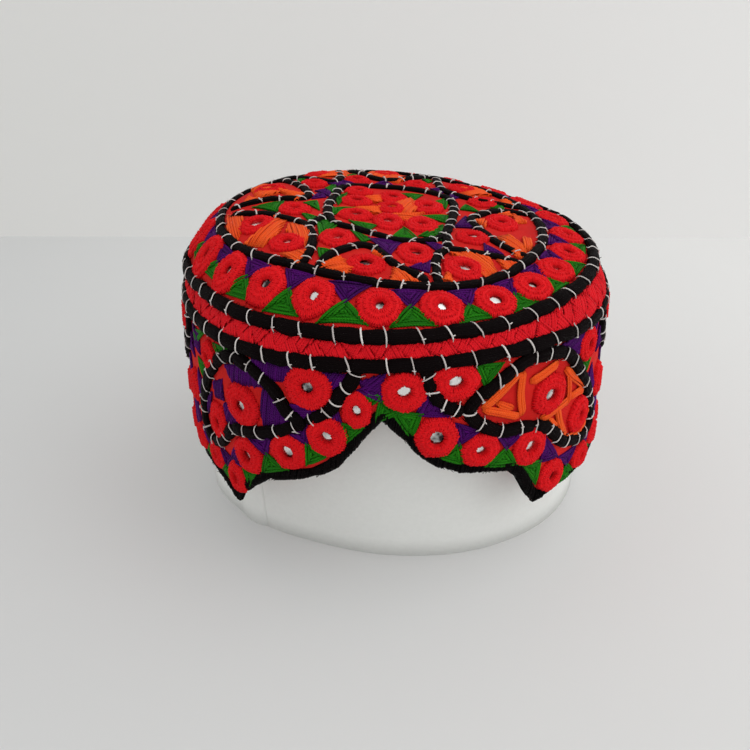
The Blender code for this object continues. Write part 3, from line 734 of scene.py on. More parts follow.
# ---- stitches ----
# Half width and half height of each kind of thread, in mm.
SEWN_THREAD = (0.58, 0.28)
BAND_THREAD = (0.54, 0.2)
RING_THREAD = (0.38, 0.28)
HAIR = (0.15, 0.15)
FUZZ = (0.13, 0.13)
BARB = (0.26, 0.2)
SATIN_LIFTS = {"satin": 0.5, "thick satin": 1.0}
SATIN_PITCH = 0.84
SATIN_POINTS = 5
TRIANGLE_PITCH = 0.92
TRIANGLE_LIFT = 0.6
TRIANGLE_ROWS = 5
TRIANGLE_POINTS = 5
TRIANGLE_EDGE = 0.3
TRIANGLE_OVERRUN = 0.05
TRIANGLE_UNEVEN = 0.13
TRIANGLE_BOW = 0.16
SIDE_LIFT = 0.14
SATIN_EDGE = 0.4
SATIN_OVERRUN = 0.35
SATIN_BOW = 0.14
SATIN_FOOT = 0.2
SHORTEST_THREAD = 0.8
BAR_PITCH = 0.8
BAR_LIFT = 0.95
BAR_FOOT = 0.15
BAR_SPACING = 2.0
UNEVEN_PITCH = 0.05
UNEVEN_LIFT = 0.06


def triangle_threads(face, corners):
    """Threads of a stitched triangle: rows along each side, one inside the other, its middle open."""
    corners = np.asarray(corners, float)
    sides = np.linalg.norm(np.roll(corners, -1, axis=0) - np.roll(corners, -2, axis=0), axis=1)
    middle = (corners * sides[:, None]).sum(axis=0) / sides.sum()
    edges = np.roll(corners, -1, axis=0) - corners
    area = abs(edges[0, 0] * edges[1, 1] - edges[0, 1] * edges[1, 0]) / 2
    inner = 2 * area / sides.sum()
    rows = min(TRIANGLE_ROWS, max(1, int(inner / TRIANGLE_PITCH + 0.45)))
    lines, lifts = [], []
    for row in range(rows):
        shrunk = middle + (corners - middle) * (1 - (row + TRIANGLE_EDGE) * TRIANGLE_PITCH / inner)
        for side in range(3):
            start, end = shrunk[side], shrunk[(side + 1) % 3]
            reach = (end - start) * TRIANGLE_OVERRUN
            wobble = chance.normal(0, TRIANGLE_UNEVEN, (2, 2))
            start, end = start - reach + wobble[0], end + reach + wobble[1]
            part = np.linspace(0, 1, TRIANGLE_POINTS)[:, None]
            normal = np.array((-(end - start)[1], (end - start)[0])) / (np.linalg.norm(end - start) + 1e-6)
            bow = chance.normal(0, TRIANGLE_BOW)
            lines.append(start + (end - start) * part + normal * bow * 4 * part * (1 - part))
            arch = 0.35 + 2.2 * part[:, 0] * (1 - part[:, 0])
            lifts.append(TRIANGLE_LIFT * arch + SIDE_LIFT * side + chance.normal(0, UNEVEN_LIFT))
    return lay(face, np.array(lines), np.array(lifts))


def clip_line(corners, origin, direction):
    """Stretches of a line that lie inside a polygon."""
    hits = []
    for start, end in zip(corners, np.roll(corners, -1, axis=0)):
        edge = end - start
        cross = direction[0] * edge[1] - direction[1] * edge[0]
        if abs(cross) < 1e-9:
            continue
        offset = start - origin
        part = (offset[0] * direction[1] - offset[1] * direction[0]) / cross
        if 0 <= part < 1:
            hits.append((offset[0] * edge[1] - offset[1] * edge[0]) / cross)
    hits.sort()
    return list(zip(hits[::2], hits[1::2]))


def satin_threads(face, corners, turn, pitch, lift):
    """Long parallel threads that fill a polygon in one direction."""
    corners = np.asarray(corners, float)
    direction = np.array((math.cos(math.radians(turn)), math.sin(math.radians(turn))))
    normal = np.array((-direction[1], direction[0]))
    middle = corners.mean(axis=0)
    offsets = (corners - middle) @ normal
    share = np.linspace(0, 1, SATIN_POINTS)
    bow = 4 * share * (1 - share)
    lines, lifts = [], []
    for offset in np.arange(offsets.min() + pitch * SATIN_EDGE, offsets.max(), pitch):
        origin = middle + normal * (offset + chance.normal(0, UNEVEN_PITCH))
        for near, far in clip_line(corners, origin, direction):
            if far - near < SHORTEST_THREAD:
                continue
            near -= abs(chance.normal(0, SATIN_OVERRUN))
            far += abs(chance.normal(0, SATIN_OVERRUN))
            line = middle + normal * offset + direction * (near + (far - near) * share)[:, None]
            lines.append(line + normal * (chance.normal(0, SATIN_BOW) * bow)[:, None])
            lifts.append(SATIN_FOOT + lift * bow ** 0.5 + chance.normal(0, 0.07))
    return lay(face, np.array(lines), np.array(lifts))


def bar_threads(face, line, width):
    """Long threads side by side along a line: a padded bar with narrower ends."""
    route = smooth_route(line, False, BAR_SPACING)
    forward = unit(np.gradient(route, axis=0))
    across = pairs(-forward[:, 1], forward[:, 0])
    share = np.linspace(0, 1, len(route))
    full = np.clip(2.6 * np.sin(math.pi * share), 0, 1) ** 0.6
    count = max(2, round(width / BAR_PITCH))
    place = (np.arange(count) + 0.5) / count * 2 - 1
    wander = jitter(UNEVEN_PITCH, count)
    wander = wander + jitter(UNEVEN_PITCH, count) * np.sin(math.tau * share)
    offsets = (place[:, None] + wander) * (width / 2) * (0.55 + 0.45 * full)
    lines = route[None] + across[None] * offsets[..., None]
    lifts = BAR_FOOT + BAR_LIFT * np.sqrt(1 - 0.8 * place[:, None] ** 2) * (0.2 + 0.8 * full)
    return lay(face, lines, lifts + jitter(UNEVEN_LIFT, count))


RING_DOME = ((0, 0.26, 0.4, 0.58, 0.76, 0.9, 1.0), (1.3, 1.55, 2.0, 2.2, 1.8, 1.15, 0.35))
RING_SIDES = 24
CORE_SHARES = (0.99, 0.96, 0.8, 0.58)
CORE_LIFTS = (0.0, 0.7, 1.65, 2.15, 1.85, 1.2, 0.15)
MIRROR_LIFTS = (0.3, 0.42, 0.5)
ROW_BOUNDS = (0, 0.37, 0.69, 1)
ROW_OVERLAP = 0.035
RING_PITCH = 0.64
RING_DIP = (-0.42, 0.28, -0.42)
RING_POINTS = 3
FEWEST_STITCHES = 16
RING_CORNERS = (5, 8)
SQUARENESS = 0.55
OVALNESS = 0.05
HOLE_SIZES = (0.82, 0.36)
MIRROR_TILT = 0.09


def soft_polygon(turn, corners, phase):
    """Outline of a hand-stitched ring: part polygon, part circle, about one in every direction."""
    step = math.tau / corners
    facet = math.cos(math.pi / corners) / np.cos((turn - phase) % step - step / 2)
    return 1 + SQUARENESS * (facet * (1 + 0.5 * (1 - math.cos(math.pi / corners))) - 1)


def rosette(face, x, y, wide, high, rise, opening):
    """Thick ring of short stitches in three rows round a small sunk mirror."""
    corners = int(chance.integers(*RING_CORNERS))
    phase, lean = chance.random(2) * math.tau
    size = (wide + high) / 2
    hole = opening * (HOLE_SIZES[0] + HOLE_SIZES[1] * chance.random())

    def spread(share, turn):
        reach = share * (1 + (soft_polygon(turn, corners, phase) - 1) * share)
        reach = reach * (1 + OVALNESS * np.cos(2 * (turn - lean)) * (1 - share))
        return pairs(x + wide * reach * np.cos(turn), y + high * reach * np.sin(turn))

    def skin(shares, lifts, finish, tone):
        """Rings from the edge inwards, as one batch."""
        rings = lay(face, spread(np.array(shares)[:, None], turn[None]), lifts)[0][None]
        return rings, np.zeros((1, len(shares))), finish, tone

    turn = -np.linspace(0, math.tau, RING_SIDES, endpoint=False)
    lifts = np.array(CORE_LIFTS)[:, None] * rise + 0 * turn
    batches = [skin((*CORE_SHARES, hole + 0.08, hole, hole - 0.02), lifts, 0, 0.3)]
    tilt = chance.normal(0, MIRROR_TILT, 2)
    slope = (tilt[0] * np.cos(turn) + tilt[1] * np.sin(turn)) * 2
    lifts = np.array(MIRROR_LIFTS)[:, None] * rise + slope
    batches.append(skin((hole + 0.05, hole + 0.05, hole - 0.01), lifts, 1, 0.5))
    bounds = hole + (1 - hole) * np.array(ROW_BOUNDS)
    for low, top in zip(bounds, bounds[1:]):
        number = max(FEWEST_STITCHES, int(math.tau * (low + top) / 2 * size / RING_PITCH))
        turns = np.linspace(0, math.tau, number, endpoint=False) + chance.normal(0, 0.02, number)
        share = np.linspace(low - ROW_OVERLAP, top + ROW_OVERLAP, RING_POINTS) + jitter(0.016, number)
        slant = chance.normal(0.02, 0.05, (number, 1)) * np.linspace(-1, 1, RING_POINTS)
        lifts = rise * np.interp(share, *RING_DOME) + np.array(RING_DIP) + jitter(0.05, number)
        points, normals = lay(face, spread(share, turns[:, None] + slant), lifts)
        batches.append(threads(points, normals, RING_THREAD, 0.8, shade=chance.uniform(0.4, 0.85, number)))
    return batches


def rosette_piece(name, face, rows, size, nodes=()):
    """Rosettes on one face as one piece."""
    batches = []
    for row in rows:
        batches += rosette(face, *row, *size)
    finish_piece(joined(name, batches, [RED, MIRROR]), "red_thread", *nodes)


# ---- cords ----
def smooth_route(points, closed, spacing):
    """Even points along a smooth curve through the given ones."""
    places = np.array(points, float)
    if closed:
        ends = np.concatenate([places[-1:], places, places[:2]])
    else:
        ends = np.concatenate([places[:1], places, places[-1:]])
    part = np.linspace(0, 1, 12, endpoint=False)[:, None]
    curve = []
    for before, start, end, after in zip(ends, ends[1:], ends[2:], ends[3:]):
        bend = (2 * before - 5 * start + 4 * end - after) * part ** 2
        curve.append(0.5 * (2 * start + (end - before) * part + bend
                            + (3 * start - before - 3 * end + after) * part ** 3))
    curve = np.concatenate([*curve, ends[-2:-1]])
    lengths = travelled(curve)
    count = max(3, round(lengths[-1] / spacing))
    stations = np.linspace(0, lengths[-1], count + 1)
    return pairs(*[np.interp(stations, lengths, curve[:, axis]) for axis in range(2)])


def seam_line(angles):
    """Points and normals over the seam of the band and the crown."""
    along = wall_along(np.degrees(angles))
    seam, below = upright(wall_face, pairs(along, np.full_like(along, CROWN_LEVEL)))
    inside = SEAM_INSET * crown_radius(angles)
    above = upright(crown_face, on_circle(inside, angles))[1]
    normal = unit(below + above)
    return seam + normal * SEAM_LIFT, normal


def cord_frames(points, normals, closed):
    """Sides of a cord along its points; a closed one ends where it starts."""
    if closed:
        forward = np.roll(points[:-1], -1, axis=0) - np.roll(points[:-1], 1, axis=0)
        forward = np.concatenate([forward, forward[:1]])
    else:
        forward = np.gradient(points, axis=0)
    return points, normals, unit(np.cross(forward, normals))


STEP = 0.9
RING_REACH = 90
SEAM_INSET = 0.985
SEAM_LIFT = 0.3
TUCK = 0.8
CORD_SECTION_TURNS = np.linspace(-0.12, math.pi + 0.12, 17)
# Distance between the white stitches, half width and height of each cord.
RING_CORD = (11, 2.6, 2.1)
MEDALLION_CORD = (10.5, 2.0, 1.6)
CENTRE_CORD = (8.6, 1.85, 1.5)
PETAL_CORD = (8.8, 1.8, 1.5)
LINK_CORD = (7, 1.75, 1.5)
LEAF_CORD = (8.2, 2.6, 2.1)
LOOP_CORD = (6.5, 2.6, 2.1)
BACK_LOOP_CORD = (7, 2.6, 2.1)
RING_LEAN = 0.8
SPARSE = 1.35
UNEVEN_GAP = 0.09
# A cord's plies, and how far the stitches draw it in: length, share of its width, share of its height.
PLIES = 9
PLY_DEPTH = 0.06
DRAWN_LENGTH, DRAWN_WIDTH, DRAWN_HEIGHT = 1.1, 0.17, 0.36
CORD_END = 2.2
HAIRS_PER_MM = 1.3
HAIR_LENGTHS = (0.8, 2.4)
HAIR_FEET = (0.82, 0.98)
HAIR_REACHES = (0.15, 0.9)
HAIR_RISES = (0.1, 0.6)
# The white stitches: points, spread of length, slant when they lean or not, bow, half widths.
COUCHING_POINTS = 11
COUCHING_LENGTH = 0.11
LEANING_SLANT, FREE_SLANT = 0.4, 0.9
COUCHING_BOW = 0.35
COUCHING_WIDTHS = (0.24, 0.36)
COUCHING_HEIGHT = 0.2
BARB_SHARE = 0.6
BARBS_AHEAD = 0.8
BARB_SPAN = (-0.35, 1.1, 4)


def slow_noise(place, gap, size):
    """Soft random values along a length, the same at both ends."""
    count = max(3, round(place[-1] / gap))
    values = chance.normal(0, size, count + 1)
    values[-1] = values[0]
    return np.interp(place, np.linspace(0, place[-1], count + 1), values)


def bundle(frames, stations, half_width, height, closed):
    """Rings of a couched cord: soft plies side by side, drawn in under the stitches and uneven between."""
    points, normals, sides = frames
    place = travelled(points)
    drawn = np.zeros(len(points))
    for station in stations:
        drawn = np.maximum(drawn, np.exp(-((place - station) / DRAWN_LENGTH) ** 2))
    turn = CORD_SECTION_TURNS[None]
    lobes = 1 + PLY_DEPTH * np.cos(PLIES * turn + slow_noise(place, 9, 0.9)[:, None])
    swell = 1 + slow_noise(place, 6, 0.04) + slow_noise(place, 2.6, 0.035)
    if not closed:
        swell = swell * np.clip(np.minimum(place, place[-1] - place) / CORD_END + 0.12, 0, 1) ** 0.5
    swell, drawn = swell[:, None], drawn[:, None]
    wander = slow_noise(place, 5, 0.2)[:, None]
    across = half_width * swell * (1 - DRAWN_WIDTH * drawn) * np.cos(turn) * lobes + wander
    flattened = np.abs(np.sin(turn)) ** 0.6 * np.sign(np.sin(turn))
    up = height * swell * (1 - DRAWN_HEIGHT * drawn) * flattened * lobes + 0.1
    return points[:, None] + sides[:, None] * across[..., None] + normals[:, None] * up[..., None], place


def along_cord(frames, place, where):
    """Points, normals and sides of a cord at places along it."""
    points, normals, sides = (
        np.stack([np.interp(where, place, part[:, axis]) for axis in range(3)], axis=-1) for part in frames)
    return points, unit(normals), unit(sides)


def hairs(frames, place, half_width, height):
    """Short loose fibres that lie along a cord and stand off its edges."""
    number = int(place[-1] * HAIRS_PER_MM)
    start = chance.uniform(0, place[-1], (number, 1))
    share = np.linspace(0, 1, 3)[None]
    side = chance.choice((-1, 1), (number, 1))
    length = chance.uniform(*HAIR_LENGTHS, (number, 1)) * chance.choice((-1, 1), (number, 1))
    where = np.clip(start + length * share, 0, place[-1])
    off = half_width * chance.uniform(*HAIR_FEET, (number, 1))
    off = off + share ** 1.5 * chance.uniform(*HAIR_REACHES, (number, 1))
    lift = height * chance.uniform(*HAIR_RISES, (number, 1)) + share * jitter(0.35, number)
    base, normal, across = along_cord(frames, place, where)
    points = base + across * (side * off)[..., None] + normal * np.maximum(lift, 0.15)[..., None]
    return threads(points, normal, HAIR, 0.5, sides=3, shade=0.6)


def couching(frames, stations, half, height, leaning):
    """White stitches over a cord: one across at each station, most with a barb near the lower end."""
    place = travelled(frames[0])

    def hug(across):
        return 0.25 + height * np.clip(1 - (np.abs(across) / (half - 0.5)) ** 3, 0, 1) ** 0.5

    stations = np.asarray(stations, float)
    number = len(stations)
    reach = np.linspace(-1, 1, COUCHING_POINTS)[None]
    length = half * (1 + jitter(COUCHING_LENGTH, number))
    slant = leaning + jitter(LEANING_SLANT if leaning else FREE_SLANT, number)
    bow = COUCHING_BOW * jitter(1, number) * reach ** 2
    where = np.clip(stations[:, None] + slant * reach + bow, 0, place[-1])
    base, normal, side = along_cord(frames, place, where)
    line = base + side * (reach * length)[..., None] + normal * hug(reach * length)[..., None]
    thick = chance.uniform(*COUCHING_WIDTHS, (number, 1)) * taper(COUCHING_POINTS, 0.45)
    high = COUCHING_HEIGHT * taper(COUCHING_POINTS, 0.5)
    batches = [strands(line, normal, thick, high, 1, 6, chance.uniform(0.1, 0.9, number))]
    ticked = chance.random(number) < BARB_SHARE
    if ticked.any():
        count = ticked.sum()
        ahead = np.where(chance.random((count, 1)) < BARBS_AHEAD, 1, -1)
        span = np.linspace(*BARB_SPAN)[None] * ahead
        across = 0.69 * half - 0.5 - 0.35 * np.abs(span) + jitter(0.25, count)
        where = np.clip(stations[ticked][:, None] + span + 0.7 * leaning, 0, place[-1])
        base, normal, side = along_cord(frames, place, where)
        above = hug(across) + 0.35 - 0.12 * np.abs(span)
        line = base + side * across[..., None] + normal * above[..., None]
        batches.append(threads(line, normal, BARB, 0.5, 1, 5, 0.5))
    return batches


def make_cord(name, frames, spacing, half_width, height, leaning=0, nodes=None):
    """A couched cord with its white stitches, as one piece that stands for the cord of its name."""
    length = np.linalg.norm(np.diff(frames[0], axis=0), axis=1).sum()
    count = max(2, round(length / spacing))
    stations = (np.arange(count) + 0.5) * length / count
    stations = stations + chance.normal(0, UNEVEN_GAP * length / count, count)
    closed = np.linalg.norm(frames[0][0] - frames[0][-1]) < 0.01
    rings, place = bundle(frames, stations, half_width, height, closed)
    batches = [(rings[None], place[None], 0, 0.35), hairs(frames, place, half_width, height),
               *couching(frames, stations, half_width + 0.75, height - 0.12, leaning)]
    nodes = [name] if nodes is None else nodes
    return finish_piece(joined(f"{name}_couched", batches, [BLACK, WHITE]), "black_thread", *nodes)


def finish_piece(piece, slot, *nodes):
    """Let a piece ride on the cap and stand for the nodes it replaces, which are hidden; the slot it is given is
    not used.
    """
    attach(piece, "root")
    if nodes:
        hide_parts(*nodes)
    return piece


def face_frames(face, route, closed):
    points, normals = upright(face, route)
    return cord_frames(points, normals, closed)


def wall_route(chart, turn, mirror, closed, room):
    """Route of a cord on the wall, kept below the cord at its top."""
    flat = smooth_route([(degrees * DEGREE, height) for degrees, height in chart], closed, STEP)
    flat[:, 0] = turn * DEGREE + mirror * flat[:, 0]
    ceiling = around(WALL_CORD_HEIGHTS, np.radians(ARCH_MIDDLE + flat[:, 0] / DEGREE)) - room
    flat[:, 1] = np.minimum(flat[:, 1], ceiling)
    return flat


def tucked(place):
    """Place where a petal's cord ends under the medallion's cord."""
    turn = math.atan2(place[1], place[0])
    reach = float(around(MEDALLION_RADII, turn)) - TUCK
    return reach * math.cos(turn), reach * math.sin(turn)


def make_cords():
    """Every couched cord of the cap."""
    angles = np.linspace(0, math.tau, int(math.tau * RING_REACH / STEP) + 1)
    route = pairs(wall_along(np.degrees(angles)), around(WALL_CORD_HEIGHTS, angles))
    make_cord("wall_top_cord", face_frames(wall_face, route, True), *RING_CORD, RING_LEAN)
    make_cord("crown_edge_cord", cord_frames(*seam_line(angles), True), *RING_CORD, RING_LEAN)
    route = on_circle(around(MEDALLION_RADII, angles), angles)
    make_cord("medallion_cord", face_frames(crown_face, route, True), *MEDALLION_CORD)
    route = smooth_route(CENTRE_ROUTE, True, STEP)
    make_cord("centre_cord", face_frames(crown_face, route, True), *CENTRE_CORD)
    petals = [*SEEN_PETAL_ROUTES, *[hidden_petal_route(*row) for row in HIDDEN_PETALS]]
    for number, petal in enumerate(petals, 1):
        start = [] if number in OPEN_PETALS else [tucked(petal[0])]
        route = smooth_route([*start, *petal, tucked(petal[-1])], False, STEP)
        make_cord(f"petal_cord_{number}", face_frames(crown_face, route, False), *PETAL_CORD)
    for number, link in enumerate(LINK_ROUTES, 1):
        route = smooth_route(link, False, STEP)
        make_cord(f"link_cord_{number}", face_frames(crown_face, route, False), *LINK_CORD, nodes=[])
    for side, mirror in (("right", 1), ("left", -1)):
        for number in range(3):
            front_left = side == "left" and number == 0
            for kind, charts, closed, room, (spacing, *size) in (
                    ("leaf", (LEAF_ROUTE, FRONT_LEFT_LEAF_ROUTE), True, LEAF_ROOM, LEAF_CORD),
                    ("loop", (LOOP_ROUTE, FRONT_LEFT_LOOP_ROUTE), False, LOOP_ROOM, LOOP_CORD)):
                route = wall_route(charts[front_left], mirror * REPEAT * number, mirror, closed, room)
                make_cord(f"{kind}_cord_{side}_{number + 1}", face_frames(wall_face, route, closed),
                          spacing * (SPARSE if number else 1), *size)
    route = wall_route(BACK_LOOP_ROUTE, 180, 1, False, LOOP_ROOM)
    make_cord("loop_cord_back", face_frames(wall_face, route, False), *BACK_LOOP_CORD)


def hidden_petal_route(start, middle, end, inner_radius):
    """Route of a petal that follows the rule: out at the ring, in at its middle."""
    route = []
    for degrees in np.linspace(start, end, PETAL_POINTS):
        half = middle - start if degrees < middle else end - middle
        away = abs(degrees - middle) / half
        turn = math.radians(degrees)
        outer_radius = float(around(MEDALLION_RADII, turn)) - PETAL_END_INSET
        reach = inner_radius + (outer_radius - inner_radius) * away ** PETAL_BLUNTNESS
        route.append((reach * math.cos(turn), reach * math.sin(turn)))
    return route


# ---- cloth ----
CLOTH_ABOVE_RIM = 4.4
WALL_TOP = 102.2
BAND_HEIGHTS = (102.6, 111.2)
CROWN_GRID = 65
CROWN_INSET = 0.995
# Real sizes of the flat maps, in mm.
WALL_FLAT_HEIGHT = 70
BAND_FLAT = (565, 9)
CROWN_FLAT = (172, 172)
PAPER_FLAT = (500, 110)


def make_cloth():
    """Wall, band and crown of plain red cloth under the stitches."""
    left, middle, right = RIM_TIPS
    degrees = np.concatenate([np.linspace(left, middle, 90, endpoint=False),
                              np.linspace(middle, right, 80, endpoint=False),
                              np.linspace(right, left + 360, 311)])
    along = wall_along(degrees)
    bottom = rim_height(degrees, np.full(degrees.shape, CLOTH_ABOVE_RIM))
    height = bottom + (WALL_TOP - bottom) * np.linspace(0, 1, 9)[:, None]
    places = wall_face(np.broadcast_to(along, height.shape), height)
    wall = rolled("side_wall_cloth", places, RED_CLOTH, (along[-1] - along[0], WALL_FLAT_HEIGHT), True)
    finish_piece(thicken(wall, CLOTH), "red_cloth", "side_wall")
    along = wall_along(np.degrees(np.linspace(0, math.tau, 241)))
    height = np.linspace(*BAND_HEIGHTS, 7)[:, None] + 0 * along
    places = wall_face(np.broadcast_to(along, height.shape), height)
    band = rolled("red_band_cloth", places, RED_CLOTH, BAND_FLAT, True)
    finish_piece(thicken(band, CLOTH), "red_cloth", "red_band")
    across, deep = np.meshgrid(*[np.linspace(-1, 1, CROWN_GRID)] * 2)
    x = across * np.sqrt(1 - deep ** 2 / 2)
    y = deep * np.sqrt(1 - across ** 2 / 2)
    reach = crown_radius(np.arctan2(y, x)) * CROWN_INSET
    crown = rolled("crown_cloth", crown_face(x * reach, y * reach), RED_CLOTH, CROWN_FLAT)
    finish_piece(thicken(crown, CLOTH), "red_cloth", "crown")


BINDING_REACH = 1.85
CORE_SIZE = 0.82
CORE_GAP = 1.4
WRAP_PITCH = 0.92
WRAP_THREAD = (0.52, 0.38)
WRAP_POINTS = 11
WRAP_SLANT = 0.75
KNOT_GAP = 3.6
KNOT_SIZE = 0.11
FUZZ_COUNT = 1300
FUZZ_FOOT = 0.96
FUZZ_REACHES = (0.08, 0.55)
FUZZ_TURNS = (-1.9, 1.2)


def make_binding():
    """Black overcast thread round the rim, wrap beside wrap over a soft core."""
    degrees = np.linspace(RIM_TIPS[0], RIM_TIPS[0] + 360, 4001)
    line = wall_face(wall_along(degrees), rim_height(degrees))
    place = travelled(line)

    def around_edge(where, turn, size):
        """Points round the edge of the rim at places along it."""
        angle = np.interp(where, place, degrees)
        above = BINDING_HEIGHT / 2 + BINDING_HEIGHT / 2 * size * np.sin(turn)
        out = BINDING_REACH * size * np.cos(turn) - CLOTH / 2
        flat = pairs(wall_along(angle), rim_height(angle, np.maximum(above, 0.02)))
        points, normals = upright(wall_face, flat)
        return points + normals * out[..., None]

    where = np.linspace(0, place[-1], int(place[-1] / CORE_GAP))
    turn = np.linspace(0, math.tau, 10, endpoint=False)
    core = around_edge(where[:, None] + 0 * turn, turn[None] + 0 * where[:, None], CORE_SIZE)
    batches = [(core[None], where[None], 0, 0.2)]
    count = int(place[-1] / WRAP_PITCH)
    middle = (np.arange(count) + chance.normal(0, 0.12, count)) * WRAP_PITCH
    turn = np.linspace(0, math.tau, WRAP_POINTS)
    slant = WRAP_SLANT * np.sin(turn)[None] + jitter(0.25, count) * np.cos(turn)[None]
    knots = np.arange(0, place[-1] + 8, KNOT_GAP)
    uneven = np.interp(middle, knots, chance.normal(0, KNOT_SIZE, len(knots)))
    size = 1 + uneven[:, None] + jitter(0.05, count) + 0 * turn
    wraps = around_edge((middle[:, None] + slant) % place[-1], turn[None] + 0 * size, size)
    hub = wraps[:, :-1].mean(axis=1, keepdims=True)
    batches.append(strands(wraps, unit(wraps - hub), *WRAP_THREAD))
    each = (FUZZ_COUNT, 1)
    start = chance.uniform(2, place[-1] - 4, each)
    share = np.linspace(0, 1, 3)[None]
    size = FUZZ_FOOT + share * chance.uniform(*FUZZ_REACHES, each)
    turn = chance.uniform(*FUZZ_TURNS, each) + share * chance.normal(0, 0.2, each)
    fuzz = around_edge(start + share * chance.normal(0, 1.2, each), turn, size)
    up = np.broadcast_to((0.0, 0.0, 1.0), fuzz.shape)
    batches.append(threads(fuzz, up, FUZZ, 0.5, sides=3, shade=0.5))
    finish_piece(joined("rim_binding_overcast", batches, [BINDING_BLACK]), "black_thread", "rim_binding")


BAND_CELLS = 60
BAND_PITCH = 0.68
BAND_LIFT = 0.7
BAND_TURNS = (122, 58)
BAND_OVERLAP = 0.2
BAND_ROOM = (1.4, 1.2)


def make_band_stitches():
    """Red stitched triangles, point up and point down in turn, that fill the band like a low zigzag."""
    cell = 360 * DEGREE / BAND_CELLS
    batches = []
    for number in range(BAND_CELLS):
        for base, tip in ((0, 1), (1, 0)):
            start = (number + base / 2) * cell + chance.normal(0, 0.3)
            angle = np.radians(ARCH_MIDDLE + (start + cell / 2) / DEGREE)
            ends = (float(around(WALL_CORD_HEIGHTS, angle)) + BAND_ROOM[0], CROWN_LEVEL - BAND_ROOM[1])
            corners = [(start - BAND_OVERLAP, ends[base]), (start + cell / 2, ends[tip]),
                       (start + cell + BAND_OVERLAP, ends[base])]
            turn = BAND_TURNS[base] + chance.normal(0, 5)
            points, normals = satin_threads(wall_face, corners, turn, BAND_PITCH, BAND_LIFT)
            shade = chance.uniform(0.3, 0.8, len(points))
            batches.append(threads(points, normals, BAND_THREAD, 0.6, shade=shade))
    finish_piece(joined("band_stitches", batches, [BAND_RED]), "red_thread")


# ---- rosettes ----
# Half width, half height, rise and opening of a border rosette; rise and opening on the crown and the wall.
BORDER_ROSETTE = (8.4, 7.3, 0.95, 0.27)
CROWN_RING = (0.72, 0.36)
WALL_RING = (1, 0.3)
BORDER_TIPS = (-0.7, 1.0)
BORDER_SHIFT = 0.3
EDGE_ROOM = 2.6
RING_ROOM = 2.5
ROSETTE_ROOM = 3.2
PAD_SHARES = (0.97, 0.9, 0.45)
PAD_LIFTS = (0.0, 0.32, 0.4)
# A wedge between two rosettes: room beside them, base and tip as shares of their size, and its least half width.
WEDGE_ROOM, WEDGE_BASE, WEDGE_TIP = 0.42, 0.95, 0.1
WEDGE_HALF = 2.4


def border_places():
    """Angle and reach of each rosette in the crown's border."""
    last = SEEN_BORDER_ANGLES[-1]
    step = (SEEN_BORDER_ANGLES[0] + 360 - last) / (BORDER_ROSETTES_BEHIND + 1)
    behind = [last + step * (index + 1) for index in range(BORDER_ROSETTES_BEHIND)]
    degrees = np.array([*SEEN_BORDER_ANGLES, *behind])
    turn = np.radians(degrees)
    reach = (around(MEDALLION_RADII, turn) + crown_radius(turn)) / 2 + BORDER_SHIFT
    return degrees, reach


def make_border():
    """Rosettes of the crown's border, and the corners of green triangles outside them and purple ones inside."""
    degrees, reach = border_places()
    batches, greens, purples = [], [], []
    for angle, distance in zip(degrees, reach):
        turn = math.radians(angle)

        def face(along, outward, turn=turn, distance=distance):
            x = (distance + outward) * math.cos(turn) + along * math.sin(turn)
            y = (distance + outward) * math.sin(turn) - along * math.cos(turn)
            return crown_face(x, y)

        batches += rosette(face, 0, 0, *BORDER_ROSETTE)
    nodes = [f"border_rosette_{number:02d}" for number in range(1, len(degrees) + 1)]
    finish_piece(joined("border_rosettes", batches, [RED, MIRROR]), "red_thread", *nodes)
    following = np.append(degrees[1:], degrees[0] + 360)
    for start, end in zip(degrees, following):
        middle = math.radians((start + end) / 2)
        half = math.radians(end - start) / 2
        edge = float(crown_radius(middle)) - EDGE_ROOM
        ring = float(around(MEDALLION_RADII, middle)) + RING_ROOM
        centre = (edge + ring) / 2
        wide = half * centre - ROSETTE_ROOM

        def polar(distance, along, middle=middle):
            angle = middle + along / centre
            return distance * math.cos(angle), distance * math.sin(angle)

        green_tip, purple_tip = (polar(centre + offset, 0) for offset in BORDER_TIPS)
        greens.append((polar(edge, -wide), polar(edge, wide), green_tip))
        purples.append((polar(ring, wide), polar(ring, -wide), purple_tip))
    return greens, purples


def pad(face, corners):
    """Low pad of the same thread under a fill, so that no cloth shows between the stitches."""
    corners = np.asarray(corners, float)
    ahead = np.roll(corners, -1, axis=0)
    if (corners[:, 0] * ahead[:, 1] - corners[:, 1] * ahead[:, 0]).sum() > 0:
        corners, ahead = corners[::-1], np.roll(corners[::-1], -1, axis=0)
    edge = np.stack([corners, corners * 2 / 3 + ahead / 3, corners / 3 + ahead * 2 / 3], axis=1)
    edge = edge.reshape(-1, 2)
    middle = edge.mean(axis=0)
    shares = np.array(PAD_SHARES)[:, None, None]
    lifts = np.broadcast_to(np.array(PAD_LIFTS)[:, None], (3, len(edge)))
    rings = lay(face, middle + (edge - middle) * shares, lifts)[0][None]
    return rings, np.zeros((1, 3)), 0, 0.35


def sewn_piece(name, jobs, finish):
    """One piece from jobs: face, way of stitching, corners, and a bar's width or a fill's turn."""
    batches = []
    for face, way, corners, value in jobs:
        if way == "triangle":
            points, normals = triangle_threads(face, corners)
        elif way == "bar":
            points, normals = bar_threads(face, corners, value)
        else:
            points, normals = satin_threads(face, corners, value, SATIN_PITCH, SATIN_LIFTS[way])
        if way != "bar":
            batches.append(pad(face, corners))
        shade = chance.uniform(0.15, 0.85, len(points))
        batches.append(threads(points, normals, SEWN_THREAD, 0.6, shade=shade))
    return finish_piece(joined(name, batches, [finish]), None)


